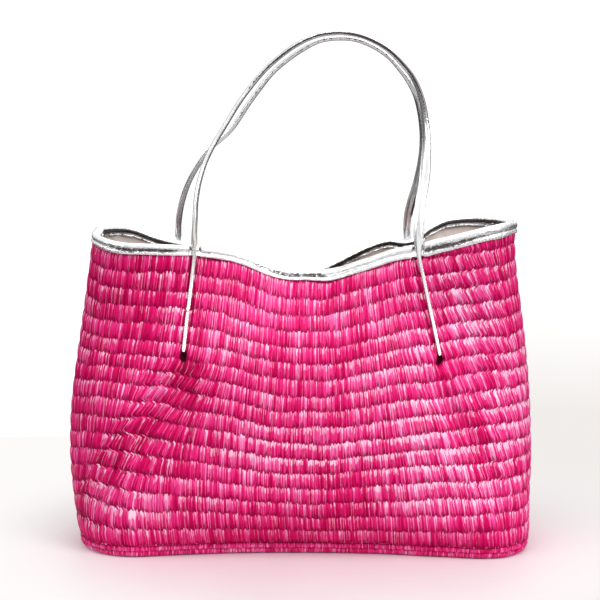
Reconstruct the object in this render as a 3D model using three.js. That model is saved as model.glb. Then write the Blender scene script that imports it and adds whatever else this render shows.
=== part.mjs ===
// Beach bag: a soft straw-cloth tote with a leather-bound rim and two standing strap handles.
// Millimetres, +Z up, front faces -Y, origin on the floor under the middle of the bag.
// Each separate piece of the bag is one named mesh.
import * as THREE from 'three';

// ---------------------------------------------------------------- driving dimensions
const STRAW_T = 2.6;        // straw cloth, rows included
const LINING_T = 1.0;       // lining cloth
const LINING_OFF = 6.6;     // outer straw face to lining, where the lining hangs loose
const LINING_OFF_RIM = 3.9; // the same inside the rim binding
const SEAM_Z = 12;          // height of the seam between wall and base
const BIND_H = 13;          // rim binding, outer leg
const BIND_IN_H = 12;       // rim binding, inner leg
const BIND_T = 1.2;         // binding leather
const GAP = 0.4;            // room between touching pieces
const BIND_GAP = 1.1;       // room between the binding's legs and what they fold over
const BOARD_T = 2.5;        // base board
const STRAP_W = 10.5;       // handle strap, across its wide face
const STRAP_T = 5.0;        // handle strap, thickness
const STRAP_WALL = 1.2;     // leather of the strap
const TAIL_W = 5.0;         // sewn-down end of a strap
const TAIL_T = 2.4;
const TAIL_LIFT = 1.9;      // room between it and the straw rows
const TAIL_TOP_W = 7.0;     // the same where it crosses the binding
const TAIL_TOP_T = 1.5;
const X_SHIFT = -0.71;      // brings the widest points of the bag level about the origin
const Y_SHIFT = 2.69;

// Girth stations along one half of the bag, from the left side seam (0) to the right (575).
const ST = [0, 30, 56, 81, 107, 142, 209, 279, 351, 422, 456, 481, 505, 539, 575];
// Height stations of the wall: 0 at the base seam, 1 at the rim.
const HL = [0, 0.06, 0.14, 0.30, 0.45, 0.60, 0.75, 0.88, 1.0];
// Share of the half width reached at each girth station, at the base and at the rim.
const XN0 = [-1, -0.985, -0.94, -0.86, -0.75, -0.60, -0.31, 0, 0.32, 0.63, 0.77, 0.87, 0.94, 0.985, 1];
const XN1 = [-1, -0.983, -0.92, -0.83, -0.70, -0.515, -0.27, 0, 0.27, 0.525, 0.69, 0.83, 0.92, 0.983, 1];
const XMIX = [0, 0.04, 0.10, 0.27, 0.45, 0.66, 0.84, 0.95, 1.0];
// Half widths, left and right, at each height station.
const WL = [229, 232, 235, 237.5, 235, 228.5, 221, 215.5, 210.5];
const WR = [238, 238.5, 238.5, 238.5, 236, 231.5, 225, 220.5, 219.5];
// Depth of the front wall, one line per height station: a belly, pulled in at the rim between the
// handles and beside the fold that runs from each strap end to the bottom corner.
const YF = [
  [0, -30, -54, -72, -80, -75, -66, -64, -69, -82, -87, -82, -66, -36, 0],
  [0, -31, -55, -74, -84, -84, -79, -77, -81, -89, -91, -84, -67, -36, 0],
  [0, -31, -55, -74, -86, -89, -88, -87, -89, -92, -91, -82, -65, -35, 0],
  [0, -30, -52, -72, -86, -90, -92, -93, -93, -90, -82, -73, -59, -33, 0],
  [0, -28, -47, -65, -83, -88, -91, -92, -91, -84, -70, -63, -54, -31, 0],
  [0, -26, -42, -51, -65, -84, -86, -86, -83, -73, -58, -56, -50, -29, 0],
  [0, -24, -39, -48, -52, -64, -71, -71, -68, -57, -52, -54, -48, -27, 0],
  [0, -23, -39, -50, -52, -50, -46, -42, -46, -51, -55, -55, -47, -25, 0],
  [0, -22, -39, -50, -52, -44, -28, -14, -27, -43, -55, -56, -46, -24, 0],
];
const YB = [
  [0, 30, 54, 68, 72, 69, 66, 65, 66, 70, 74, 70, 56, 32, 0],
  [0, 31, 55, 71, 77, 77, 77, 77, 78, 78, 79, 72, 57, 32, 0],
  [0, 31, 55, 71, 79, 82, 84, 85, 85, 82, 79, 71, 56, 31, 0],
  [0, 30, 52, 69, 79, 84, 87, 88, 87, 83, 75, 67, 54, 30, 0],
  [0, 28, 48, 63, 76, 82, 86, 87, 85, 79, 67, 60, 51, 29, 0],
  [0, 27, 44, 53, 62, 77, 80, 80, 77, 69, 58, 55, 48, 28, 0],
  [0, 25, 42, 50, 53, 60, 65, 65, 63, 56, 53, 53, 46, 26, 0],
  [0, 24, 42, 52, 52, 47, 42, 36, 44, 50, 56, 55, 45, 25, 0],
  [0, 24, 42, 54, 50, 36, 20, 6, 28, 48, 58, 56, 44, 24, 0],
];
// Height of the rim along the half girth: high at the ends, low in the middle.
const SZ = [0, 30, 56, 81, 107, 142, 175, 209, 244, 265, 290, 315, 351, 387, 422, 440, 456, 481, 505, 539, 575];
const ZF = [326, 321.5, 318.5, 316.5, 315.5, 312.5, 308, 301, 289.5, 285, 284.5, 287, 296.5, 307, 314.5, 320, 324.5, 332, 335, 335, 333];
const ZB = [326, 325.5, 325, 321, 312.5, 306.5, 302, 293.5, 284.5, 282, 285, 292.5, 305, 312.5, 311.5, 323, 330, 333.5, 334, 333.5, 333];

// Centre line of each handle between its two feet on the rim, and how far the strap is turned
// about its own line at each point: 0 is wide face forward, 90 is edge forward.
const HANDLE_F = [
  [-106.0, -50.5, 314.0, 12], [-105.7, -49.0, 326.0, 36], [-105.0, -47.0, 338.0, 54], [-104.0, -43.0, 358.5, 66], [-101.0, -39.0, 376.5, 72],
  [-95.5, -34.0, 395.0, 76], [-87.5, -30.0, 412.0, 78], [-78.0, -26.0, 428.0, 80], [-59.5, -19.0, 457.5, 84],
  [-38.0, -13.0, 484.5, 88], [-18.0, -10.0, 502.5, 90], [0.0, -8.0, 514.5, 90], [18.0, -7.0, 522.0, 90],
  [36.5, -7.0, 524.5, 90], [54.5, -7.0, 523.0, 90], [71.5, -8.0, 517.5, 90], [89.5, -9.0, 507.0, 88],
  [105.0, -11.0, 491.5, 84], [114.0, -13.0, 479.5, 80], [121.5, -16.0, 462.5, 74], [126.0, -20.0, 439.5, 64],
  [127.5, -25.0, 417.5, 52], [126.5, -30.0, 398.0, 38], [124.5, -36.0, 376.0, 24], [121.0, -41.0, 358.5, 14],
  [119.5, -46.0, 340.0, 8], [118.5, -50.0, 315.5, 6],
];
const HANDLE_B = [
  [-128.0, 51.5, 311.5, 12], [-127.6, 50.0, 322.0, 34], [-126.5, 47.0, 334.0, 50], [-122.5, 42.0, 351.5, 60], [-115.5, 37.0, 370.5, 66],
  [-105.5, 32.0, 388.5, 72], [-94.0, 27.5, 404.5, 78], [-71.5, 22.0, 425.0, 82], [-50.0, 16.0, 456.0, 86],
  [-28.5, 11.5, 483.5, 88], [-13.0, 9.0, 497.0, 90], [0.0, 8.0, 506.0, 90], [18.5, 7.0, 516.0, 90],
  [36.5, 7.0, 519.0, 90], [55.0, 7.0, 518.0, 90], [72.0, 8.0, 512.0, 90], [90.5, 9.0, 500.0, 88],
  [105.0, 11.0, 483.5, 84], [112.5, 13.0, 472.5, 80], [119.0, 16.0, 459.0, 74], [124.5, 20.0, 437.5, 64],
  [127.0, 25.0, 414.5, 52], [126.0, 30.0, 393.5, 38], [122.0, 36.0, 370.5, 24], [116.5, 42.0, 350.0, 14],
  [113.0, 49.5, 331.0, 8], [113.0, 54.0, 313.0, 6],
];
// Sewn-down strap ends: girth and height shares from the rim to the tip.
const TAILS = [
  { name: 'handle_tail_front_left', side: -1, x0: -106.0, x1: -115.5, tip: 206 },
  { name: 'handle_tail_front_right', side: -1, x0: 118.5, x1: 139.5, tip: 203, lift: 3.0 },
  { name: 'handle_tail_back_left', side: 1, x0: -128.0, x1: -137.0, tip: 205 },
  { name: 'handle_tail_back_right', side: 1, x0: 113.0, x1: 131.0, tip: 204 },
];

const COLOURS = {
  straw: 0xd63a7e, lining: 0xb3a69f, board: 0xb59f80, metal: 0xc9ccce, core: 0xd8d4cc, tape: 0xa79a92,
};

// ---------------------------------------------------------------- curves
function slopes(xk, yk) {
  const n = xk.length, m = new Array(n), d = [];
  for (let i = 0; i < n - 1; i++) d.push((yk[i + 1] - yk[i]) / (xk[i + 1] - xk[i]));
  m[0] = d[0];
  m[n - 1] = d[n - 2];
  for (let i = 1; i < n - 1; i++) {
    const h0 = xk[i] - xk[i - 1], h1 = xk[i + 1] - xk[i];
    m[i] = (d[i - 1] * h1 + d[i] * h0) / (h0 + h1);
  }
  return m;
}
function spline(xk, yk, x) {
  const m = slopes(xk, yk), n = xk.length;
  let i = 0;
  while (i < n - 2 && x >= xk[i + 1]) i++;
  const H = xk[i + 1] - xk[i], t = (x - xk[i]) / H, t2 = t * t, t3 = t2 * t;
  return (2 * t3 - 3 * t2 + 1) * yk[i] + (t3 - 2 * t2 + t) * m[i] * H + (-2 * t3 + 3 * t2) * yk[i + 1] + (t3 - t2) * m[i + 1] * H;
}
const rimZ = (s, side) => spline(SZ, side < 0 ? ZF : ZB, s);

// Outer face of the wall at girth s and height share h; side -1 is the front, 1 the back.
function wall(s, h, side) {
  const mix = spline(HL, XMIX, h);
  const xn = spline(ST, XN0, s) * (1 - mix) + spline(ST, XN1, s) * mix;
  const wl = spline(HL, WL, h), wr = spline(HL, WR, h);
  const table = side < 0 ? YF : YB;
  const y = spline(HL, table.map((row) => spline(ST, row, s)), h);
  return new THREE.Vector3((wr - wl) / 2 + xn * (wr + wl) / 2 + X_SHIFT, y + Y_SHIFT, SEAM_Z + h * (rimZ(s, side) - SEAM_Z));
}
function wallNormal(s, h, side) {
  const e = 0.5, g = 0.004;
  const s0 = Math.max(0, s - e), s1 = Math.min(575, s + e);
  const h0 = Math.max(0, h - g), h1 = Math.min(1, h + g);
  const ds = wall(s1, h, side).sub(wall(s0, h, side));
  const dh = wall(s, h1, side).sub(wall(s, h0, side));
  const n = side < 0 ? ds.cross(dh) : dh.cross(ds);
  return n.normalize();
}
const wallLen = (s, side) => rimZ(s, side) - SEAM_Z;

// ---------------------------------------------------------------- closed meshes from grids
const root = new THREE.Group();
function addMesh(name, points, faces, colour, roughness, metalness) {
  const g = new THREE.BufferGeometry();
  const a = new Float32Array(points.length * 3);
  points.forEach((p, i) => { a[3 * i] = p.x; a[3 * i + 1] = p.y; a[3 * i + 2] = p.z; });
  g.setAttribute('position', new THREE.BufferAttribute(a, 3));
  let vol = 0;
  for (const [i, j, k] of faces) vol += points[i].dot(new THREE.Vector3().crossVectors(points[j], points[k])) / 6;
  const list = vol < 0 ? faces.map(([i, j, k]) => [i, k, j]) : faces;
  g.setIndex(list.flat());
  g.computeVertexNormals();
  const mesh = new THREE.Mesh(g, new THREE.MeshStandardMaterial({ color: colour, roughness, metalness }));
  mesh.name = name;
  root.add(mesh);
  return mesh;
}
// rings: list of closed sections with equal point counts, joined in order; both ends capped.
function tube(name, rings, colour, rough, metal, hole = null) {
  const pts = [], faces = [];
  const push = (list) => { const b = pts.length; list.forEach((r) => r.forEach((p) => pts.push(p))); return b; };
  const n = rings[0].length, m = rings.length, b0 = push(rings);
  for (let i = 0; i < m - 1; i++) {
    for (let j = 0; j < n; j++) {
      const a = b0 + i * n + j, b = b0 + i * n + (j + 1) % n, c = a + n, d = b + n;
      faces.push([a, b, d], [a, d, c]);
    }
  }
  if (hole) {
    const b1 = push(hole);
    for (let i = 0; i < m - 1; i++) {
      for (let j = 0; j < n; j++) {
        const a = b1 + i * n + j, b = b1 + i * n + (j + 1) % n, c = a + n, d = b + n;
        faces.push([a, d, b], [a, c, d]);
      }
    }
    for (const [i, flip] of [[0, true], [m - 1, false]]) {
      for (let j = 0; j < n; j++) {
        const a = b0 + i * n + j, b = b0 + i * n + (j + 1) % n, c = b1 + i * n + j, d = b1 + i * n + (j + 1) % n;
        if (flip) faces.push([a, c, d], [a, d, b]); else faces.push([a, d, c], [a, b, d]);
      }
    }
  } else {
    for (const [i, flip] of [[0, true], [m - 1, false]]) {
      const ring = rings[i];
      // section outline in its own plane, cut into triangles
      const o = ring[0];
      const nrm = new THREE.Vector3();
      for (let j = 0; j < n; j++) nrm.add(new THREE.Vector3().crossVectors(ring[j].clone().sub(o), ring[(j + 1) % n].clone().sub(o)));
      nrm.normalize();
      const u = ring[1].clone().sub(o);
      u.addScaledVector(nrm, -u.dot(nrm)).normalize();
      const v = new THREE.Vector3().crossVectors(nrm, u);
      const flat = ring.map((p) => new THREE.Vector2(p.clone().sub(o).dot(u), p.clone().sub(o).dot(v)));
      for (const [x, y, z] of THREE.ShapeUtils.triangulateShape(flat, [])) {
        const a = b0 + i * n + x, b = b0 + i * n + y, c = b0 + i * n + z;
        faces.push(flip ? [a, c, b] : [a, b, c]);
      }
    }
  }
  return addMesh(name, pts, faces, colour, rough, metal);
}

// ---------------------------------------------------------------- walls
const SIDES = 32;
const GIRTH = [];
for (let i = 0; i <= SIDES; i++) {
  const t = i / SIDES;
  // closer stations near the side seams, where the wall turns
  GIRTH.push(575 * (t - 0.055 * Math.sin(2 * Math.PI * t)));
}
const LEVELS = [0, 0.012, 0.055, 0.13, 0.23, 0.34, 0.46, 0.58, 0.70, 0.82, 0.92];
function levelsAt(s, side) {
  const top = 1 - BIND_H / wallLen(s, side);
  return [...LEVELS.map((v) => (v / 0.96) * top), top, 1];
}
const clampS = (s, e) => Math.min(575 - e, Math.max(e, s));
// point at distance a outside the wall's outer face
function off(s, h, side, a) {
  return wall(s, h, side).addScaledVector(wallNormal(s, h, side), a);
}
function shell(name, side, edge, outer, inner, colour, rough, bottomZ = null) {
  const rings = [];
  for (const g of GIRTH) {
    const s = clampS(g, edge), hs = levelsAt(s, side);
    const a = hs.map((h) => off(s, h, side, -outer(h)));
    const b = hs.map((h) => off(s, h, side, -inner(h)));
    for (const [col, depth] of [[a, outer(0)], [b, inner(0)]]) {
      if (bottomZ !== null) {
        const n = wallNormal(s, 0, side).setZ(0).normalize();
        col[0].copy(wall(s, 0, side)).addScaledVector(n, -depth);
      }
      col[0].z = bottomZ ?? SEAM_Z + GAP;
    }
    rings.push([...a, ...b.reverse()]);
  }
  return tube(name, rings, colour, rough, 0);
}
const liningOff = (h) => {
  const t = THREE.MathUtils.smoothstep(h, 0.86, 0.945);
  return LINING_OFF + (LINING_OFF_RIM - LINING_OFF) * t;
};
for (const [side, word] of [[-1, 'front'], [1, 'back']]) {
  shell(`${word}_panel`, side, 0.7, () => 0, () => STRAW_T, COLOURS.straw, 0.75);
  shell(`lining_${word}`, side, 2.2, liningOff, (h) => liningOff(h) + LINING_T, COLOURS.lining, 0.85, 8.4);
}

// ---------------------------------------------------------------- rim binding: a folded strip over the rim edge
function bindingSection(s, side) {
  const L = wallLen(s, side), at = (a, b) => {
    if (b <= 0) return off(s, 1 + b / L, side, a);
    const top = off(s, 1, side, a);
    const dir = wall(s, 1, side).sub(wall(s, 1 - 3 / L, side)).normalize();
    return top.addScaledVector(dir, b);
  };
  const o = BIND_GAP, i = -(LINING_OFF_RIM + LINING_T + BIND_GAP);
  return [
    at(o, -BIND_H), at(o + BIND_T, -BIND_H), at(o + BIND_T + 0.2, 0), at(o + 0.4, 2.0), at((o + i) / 2, 2.8), at(i - 0.4, 2.0),
    at(i - BIND_T - 0.2, 0), at(i - BIND_T, -BIND_IN_H), at(i, -BIND_IN_H), at(i, 0.9), at(o, 0.9),
  ];
}
for (const [side, word] of [[-1, 'front'], [1, 'back']]) {
  tube(`rim_binding_${word}`, GIRTH.map((g) => bindingSection(clampS(g, 2.4), side)), COLOURS.metal, 0.3, 0.9);
}

// ---------------------------------------------------------------- side seam tapes, between straw and lining
for (const [end, word] of [[0, 'left'], [575, 'right']]) {
  const rings = [];
  for (let k = 0; k <= 10; k++) {
    const h = 0.02 + 0.86 * (k / 10);
    const col = [];
    for (const a of [-(STRAW_T + 0.7), -(STRAW_T + 1.5)]) {
      const p = [8, 1].map((d) => off(end ? 575 - d : d, h, -1, a));
      const q = [1, 8].map((d) => off(end ? 575 - d : d, h, 1, a));
      const line = [p[0], p[1], q[0], q[1]];
      col.push(a === -(STRAW_T + 0.7) ? line : line.reverse());
    }
    rings.push([...col[0], ...col[1]]);
  }
  tube(`side_seam_tape_${word}`, rings, COLOURS.tape, 0.8, 0);
}

// ---------------------------------------------------------------- base
function outline(inset, z) {
  const pts = [];
  for (const side of [-1, 1]) {
    const list = GIRTH.slice(0, -1).map((g) => (side < 0 ? g : 575 - g));
    for (const s of list) {
      const e = 1.5;
      const p = wall(s, 0, side);
      let ds;
      if (s < e) ds = new THREE.Vector3(0, -1, 0).multiplyScalar(side < 0 ? 1 : -1);
      else if (s > 575 - e) ds = new THREE.Vector3(0, 1, 0).multiplyScalar(side < 0 ? 1 : -1);
      else ds = wall(s + e, 0, side).sub(wall(s - e, 0, side));
      const n = new THREE.Vector3(ds.y, -ds.x, 0).normalize().multiplyScalar(side < 0 ? 1 : -1);
      pts.push(new THREE.Vector3(p.x - n.x * inset, p.y - n.y * inset, z));
    }
  }
  return pts;
}
function dish(name, rings, zBottom, zTop, colour, rough) {
  // rings run from the inner floor's edge, up and over the lip, to the underside's edge
  const pts = rings.flat(), n = rings[0].length, m = rings.length, faces = [];
  for (let i = 0; i < m - 1; i++) {
    for (let j = 0; j < n; j++) {
      const a = i * n + j, b = i * n + (j + 1) % n, c = a + n, d = b + n;
      faces.push([a, b, d], [a, d, c]);
    }
  }
  const c0 = pts.push(new THREE.Vector3(0, 0, zTop)) - 1, c1 = pts.push(new THREE.Vector3(0, 0, zBottom)) - 1;
  for (let j = 0; j < n; j++) {
    faces.push([c0, (j + 1) % n, j]);
    faces.push([c1, (m - 1) * n + j, (m - 1) * n + (j + 1) % n]);
  }
  return addMesh(name, pts, faces, colour, rough, 0);
}
dish('base_panel', [
  outline(9.5, STRAW_T), outline(4.4, 6.4), outline(STRAW_T, SEAM_Z),
  outline(0, SEAM_Z), outline(1.0, 6), outline(3.6, 1.8), outline(8, 0),
], 0, STRAW_T, COLOURS.straw, 0.75);
dish('base_board', [outline(11, STRAW_T + GAP + BOARD_T), outline(11, STRAW_T + GAP)], STRAW_T + GAP, STRAW_T + GAP + BOARD_T, COLOURS.board, 0.8);
dish('lining_base', [outline(7.0, 7.7), outline(7.0, 6.7)], 6.7, 7.7, COLOURS.lining, 0.85);

// ---------------------------------------------------------------- handles
function section(w, t, n = 8) {
  // rounded strip: flat faces with full round edges
  const out = [], r = t / 2, a = w / 2 - r;
  const arc = (cx, from) => {
    for (let k = 0; k < n / 2; k++) {
      const q = from + Math.PI * (k / (n / 2 - 1));
      out.push([cx + r * Math.cos(q), r * Math.sin(q)]);
    }
  };
  arc(a, -Math.PI / 2);
  arc(-a, Math.PI / 2);
  return out;
}
function sweep(points, steps, shape, turnOf) {
  const curve = new THREE.CatmullRomCurve3(points, false, 'centripetal');
  const rings = [];
  for (let i = 0; i <= steps; i++) {
    const u = i / steps, p = curve.getPointAt(u), t = curve.getTangentAt(u);
    const { wide, sec } = turnOf(u, p, t, shape);
    const w = wide.addScaledVector(t, -wide.dot(t)).normalize();
    const d = new THREE.Vector3().crossVectors(t, w);
    rings.push(sec.map(([x, y]) => p.clone().addScaledVector(w, x).addScaledVector(d, y)));
  }
  return rings;
}
function handle(word, table) {
  const pts = table.map(([x, y, z]) => new THREE.Vector3(x + X_SHIFT, y + Y_SHIFT, z));
  const curve = new THREE.CatmullRomCurve3(pts, false, 'centripetal');
  const lens = [0];
  for (let i = 1; i < pts.length; i++) lens.push(lens[i - 1] + pts[i].distanceTo(pts[i - 1]));
  const us = lens.map((l) => l / lens[lens.length - 1]);
  const turn = (u, p, t, sec) => {
    const a = THREE.MathUtils.degToRad(spline(us, table.map((r) => r[3]), u));
    // in the plane across the strap's line: "side" lies in the loop's plane, "depth" runs front to back
    const sideways = new THREE.Vector3(0, 1, 0).cross(t).normalize();
    const depth = new THREE.Vector3().crossVectors(t, sideways).normalize();
    return { wide: sideways.multiplyScalar(Math.cos(a)).addScaledVector(depth, Math.sin(a)), sec };
  };
  const STEPS = 38;
  const outer = sweep(pts, STEPS, section(STRAP_W, STRAP_T), turn);
  const hole = sweep(pts, STEPS, section(STRAP_W - 2 * STRAP_WALL, STRAP_T - 2 * STRAP_WALL), turn);
  const core = sweep(pts, STEPS, section(STRAP_W - 2 * STRAP_WALL - 0.8, STRAP_T - 2 * STRAP_WALL - 0.8, 6), turn);
  tube(`handle_${word}_cover`, outer, COLOURS.metal, 0.3, 0.9, hole);
  tube(`handle_${word}_core`, core, COLOURS.core, 0.9, 0);
  return curve;
}
handle('front', HANDLE_F);
handle('back', HANDLE_B);

// ---------------------------------------------------------------- sewn-down strap ends
function findS(x, h, side) {
  let lo = 30, hi = 545;
  for (let k = 0; k < 50; k++) {
    const mid = (lo + hi) / 2;
    if (wall(mid, h, side).x < x) lo = mid; else hi = mid;
  }
  return (lo + hi) / 2;
}
for (const { name, side, x0, x1, tip, lift: bed = TAIL_LIFT } of TAILS) {
  const N0 = 12, rings = [];
  const sTop = findS(x0 + X_SHIFT, 1, side), zTop = rimZ(sTop, side) - 4;
  for (let i = 0; i <= N0; i++) {
    const k = i / N0, z = zTop + (tip - zTop) * k, x = x0 + (x1 - x0) * k + X_SHIFT;
    let h = 0.9, s = sTop;
    for (let it = 0; it < 6; it++) { s = findS(x, h, side); h = (z - SEAM_Z) / wallLen(s, side); }
    const n = wallNormal(s, h, side), b = (1 - h) * wallLen(s, side);
    const over = 1 - THREE.MathUtils.smoothstep(b, BIND_H + 0.5, BIND_H + 8); // 1 where it crosses the binding
    const lift = bed + over * (BIND_GAP + BIND_T + 0.6 - bed);
    const w = TAIL_W + (TAIL_TOP_W - TAIL_W) * over, t = TAIL_T + (TAIL_TOP_T - TAIL_T) * over;
    const end = i === N0 ? 0.55 : 1;
    const p = wall(s, h, side);
    const along = wall(s, Math.min(1, h + 0.01), side).sub(wall(s, h - 0.01, side)).normalize();
    const across = new THREE.Vector3().crossVectors(along, n).normalize();
    const c = p.clone().addScaledVector(n, lift + t / 2);
    rings.push(section(w * end, t * end, 8).map(([a, d]) => c.clone().addScaledVector(across, a).addScaledVector(n, d)));
  }
  tube(name, rings, COLOURS.metal, 0.3, 0.9);
}

export default root;
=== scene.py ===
# Beach bag: the looks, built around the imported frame. Metres, +Z up, front faces -Y.
import bpy
import math
import numpy as np
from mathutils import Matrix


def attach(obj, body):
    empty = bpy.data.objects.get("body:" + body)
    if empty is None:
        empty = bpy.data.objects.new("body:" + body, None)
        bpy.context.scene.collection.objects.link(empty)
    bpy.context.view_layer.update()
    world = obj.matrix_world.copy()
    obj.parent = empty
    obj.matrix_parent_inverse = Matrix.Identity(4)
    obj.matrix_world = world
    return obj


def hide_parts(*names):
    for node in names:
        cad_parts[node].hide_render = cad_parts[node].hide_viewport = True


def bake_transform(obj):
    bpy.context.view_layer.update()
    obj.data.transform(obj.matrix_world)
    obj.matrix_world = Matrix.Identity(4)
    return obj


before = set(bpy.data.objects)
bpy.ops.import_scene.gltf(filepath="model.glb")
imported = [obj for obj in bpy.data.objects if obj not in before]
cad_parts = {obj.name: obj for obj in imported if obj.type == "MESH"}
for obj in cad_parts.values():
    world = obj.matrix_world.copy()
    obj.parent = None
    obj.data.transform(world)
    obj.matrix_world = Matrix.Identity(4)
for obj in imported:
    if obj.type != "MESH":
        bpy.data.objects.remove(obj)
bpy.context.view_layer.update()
RNG = np.random.default_rng(11)

# ------------------------------------------------------------------ the bag's wall, as in the CAD model (mm)
X_SHIFT, Y_SHIFT = -0.71, 2.69
SEAM_Z, BIND_H = 12.0, 13.0
ST = np.array([0, 30, 56, 81, 107, 142, 209, 279, 351, 422, 456, 481, 505, 539, 575], float)
HL = np.array([0, .06, .14, .30, .45, .60, .75, .88, 1.0])
XN0 = np.array([-1, -.985, -.94, -.86, -.75, -.60, -.31, 0, .32, .63, .77, .87, .94, .985, 1])
XN1 = np.array([-1, -.983, -.92, -.83, -.70, -.515, -.27, 0, .27, .525, .69, .83, .92, .983, 1])
XMIX = np.array([0, .04, .10, .27, .45, .66, .84, .95, 1.0])
WL = np.array([229, 232, 235, 237.5, 235, 228.5, 221, 215.5, 210.5])
WR = np.array([238, 238.5, 238.5, 238.5, 236, 231.5, 225, 220.5, 219.5])
YF = np.array([
    [0, -30, -54, -72, -80, -75, -66, -64, -69, -82, -87, -82, -66, -36, 0],
    [0, -31, -55, -74, -84, -84, -79, -77, -81, -89, -91, -84, -67, -36, 0],
    [0, -31, -55, -74, -86, -89, -88, -87, -89, -92, -91, -82, -65, -35, 0],
    [0, -30, -52, -72, -86, -90, -92, -93, -93, -90, -82, -73, -59, -33, 0],
    [0, -28, -47, -65, -83, -88, -91, -92, -91, -84, -70, -63, -54, -31, 0],
    [0, -26, -42, -51, -65, -84, -86, -86, -83, -73, -58, -56, -50, -29, 0],
    [0, -24, -39, -48, -52, -64, -71, -71, -68, -57, -52, -54, -48, -27, 0],
    [0, -23, -39, -50, -52, -50, -46, -42, -46, -51, -55, -55, -47, -25, 0],
    [0, -22, -39, -50, -52, -44, -28, -14, -27, -43, -55, -56, -46, -24, 0]], float)
YB = np.array([
    [0, 30, 54, 68, 72, 69, 66, 65, 66, 70, 74, 70, 56, 32, 0],
    [0, 31, 55, 71, 77, 77, 77, 77, 78, 78, 79, 72, 57, 32, 0],
    [0, 31, 55, 71, 79, 82, 84, 85, 85, 82, 79, 71, 56, 31, 0],
    [0, 30, 52, 69, 79, 84, 87, 88, 87, 83, 75, 67, 54, 30, 0],
    [0, 28, 48, 63, 76, 82, 86, 87, 85, 79, 67, 60, 51, 29, 0],
    [0, 27, 44, 53, 62, 77, 80, 80, 77, 69, 58, 55, 48, 28, 0],
    [0, 25, 42, 50, 53, 60, 65, 65, 63, 56, 53, 53, 46, 26, 0],
    [0, 24, 42, 52, 52, 47, 42, 36, 44, 50, 56, 55, 45, 25, 0],
    [0, 24, 42, 54, 50, 36, 20, 6, 28, 48, 58, 56, 44, 24, 0]], float)
SZ = np.array([0, 30, 56, 81, 107, 142, 175, 209, 244, 265, 290, 315, 351, 387, 422, 440, 456, 481, 505, 539, 575], float)
ZF = np.array([326, 321.5, 318.5, 316.5, 315.5, 312.5, 308, 301, 289.5, 285, 284.5, 287, 296.5, 307, 314.5, 320, 324.5, 332, 335, 335, 333])
ZB = np.array([326, 325.5, 325, 321, 312.5, 306.5, 302, 293.5, 284.5, 282, 285, 292.5, 305, 312.5, 311.5, 323, 330, 333.5, 334, 333.5, 333])
HANDLE_F = np.array([
    [-106.0, -50.5, 314.0, 12], [-105.7, -49.0, 326.0, 36], [-105.0, -47.0, 338.0, 54], [-104.0, -43.0, 358.5, 66], [-101.0, -39.0, 376.5, 72],
    [-95.5, -34.0, 395.0, 76], [-87.5, -30.0, 412.0, 78], [-78.0, -26.0, 428.0, 80], [-59.5, -19.0, 457.5, 84],
    [-38.0, -13.0, 484.5, 88], [-18.0, -10.0, 502.5, 90], [0.0, -8.0, 514.5, 90], [18.0, -7.0, 522.0, 90],
    [36.5, -7.0, 524.5, 90], [54.5, -7.0, 523.0, 90], [71.5, -8.0, 517.5, 90], [89.5, -9.0, 507.0, 88],
    [105.0, -11.0, 491.5, 84], [114.0, -13.0, 479.5, 80], [121.5, -16.0, 462.5, 74], [126.0, -20.0, 439.5, 64],
    [127.5, -25.0, 417.5, 52], [126.5, -30.0, 398.0, 38], [124.5, -36.0, 376.0, 24], [121.0, -41.0, 358.5, 14],
    [119.5, -46.0, 340.0, 8], [118.5, -50.0, 315.5, 6]])
HANDLE_B = np.array([
    [-128.0, 51.5, 311.5, 12], [-127.6, 50.0, 322.0, 34], [-126.5, 47.0, 334.0, 50], [-122.5, 42.0, 351.5, 60], [-115.5, 37.0, 370.5, 66],
    [-105.5, 32.0, 388.5, 72], [-94.0, 27.5, 404.5, 78], [-71.5, 22.0, 425.0, 82], [-50.0, 16.0, 456.0, 86],
    [-28.5, 11.5, 483.5, 88], [-13.0, 9.0, 497.0, 90], [0.0, 8.0, 506.0, 90], [18.5, 7.0, 516.0, 90],
    [36.5, 7.0, 519.0, 90], [55.0, 7.0, 518.0, 90], [72.0, 8.0, 512.0, 90], [90.5, 9.0, 500.0, 88],
    [105.0, 11.0, 483.5, 84], [112.5, 13.0, 472.5, 80], [119.0, 16.0, 459.0, 74], [124.5, 20.0, 437.5, 64],
    [127.0, 25.0, 414.5, 52], [126.0, 30.0, 393.5, 38], [122.0, 36.0, 370.5, 24], [116.5, 42.0, 350.0, 14],
    [113.0, 49.5, 331.0, 8], [113.0, 54.0, 313.0, 6]])
# sewn-down strap ends: x at the rim, x at the tip, height of the tip
TAILS = {"front": [(-106.0, -115.3, 210.0), (118.5, 139.3, 204.5)],
         "back": [(-128.0, -137.0, 207.0), (113.0, 131.0, 205.0)]}


def spline(xk, yk, x):
    """Cubic through (xk, yk) with averaged slopes; yk may have further dimensions."""
    xk = np.asarray(xk, float); yk = np.asarray(yk, float)
    x = np.asarray(x, float); shp = x.shape; x = x.ravel()
    n = len(xk); ex = (1,) * (yk.ndim - 1)
    h = (xk[1:] - xk[:-1]).reshape((-1,) + ex)
    d = (yk[1:] - yk[:-1]) / h
    m = np.empty_like(yk)
    m[1:-1] = (d[:-1] * h[1:] + d[1:] * h[:-1]) / (h[1:] + h[:-1])
    m[0], m[-1] = d[0], d[-1]
    i = np.clip(np.searchsorted(xk, x, side="right") - 1, 0, n - 2)
    H = (xk[i + 1] - xk[i]).reshape((-1,) + ex)
    t = ((x - xk[i]) / (xk[i + 1] - xk[i])).reshape((-1,) + ex)
    t2, t3 = t * t, t * t * t
    r = (2 * t3 - 3 * t2 + 1) * yk[i] + (t3 - 2 * t2 + t) * m[i] * H + (-2 * t3 + 3 * t2) * yk[i + 1] + (t3 - t2) * m[i + 1] * H
    return r.reshape(shp + yk.shape[1:])


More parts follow.
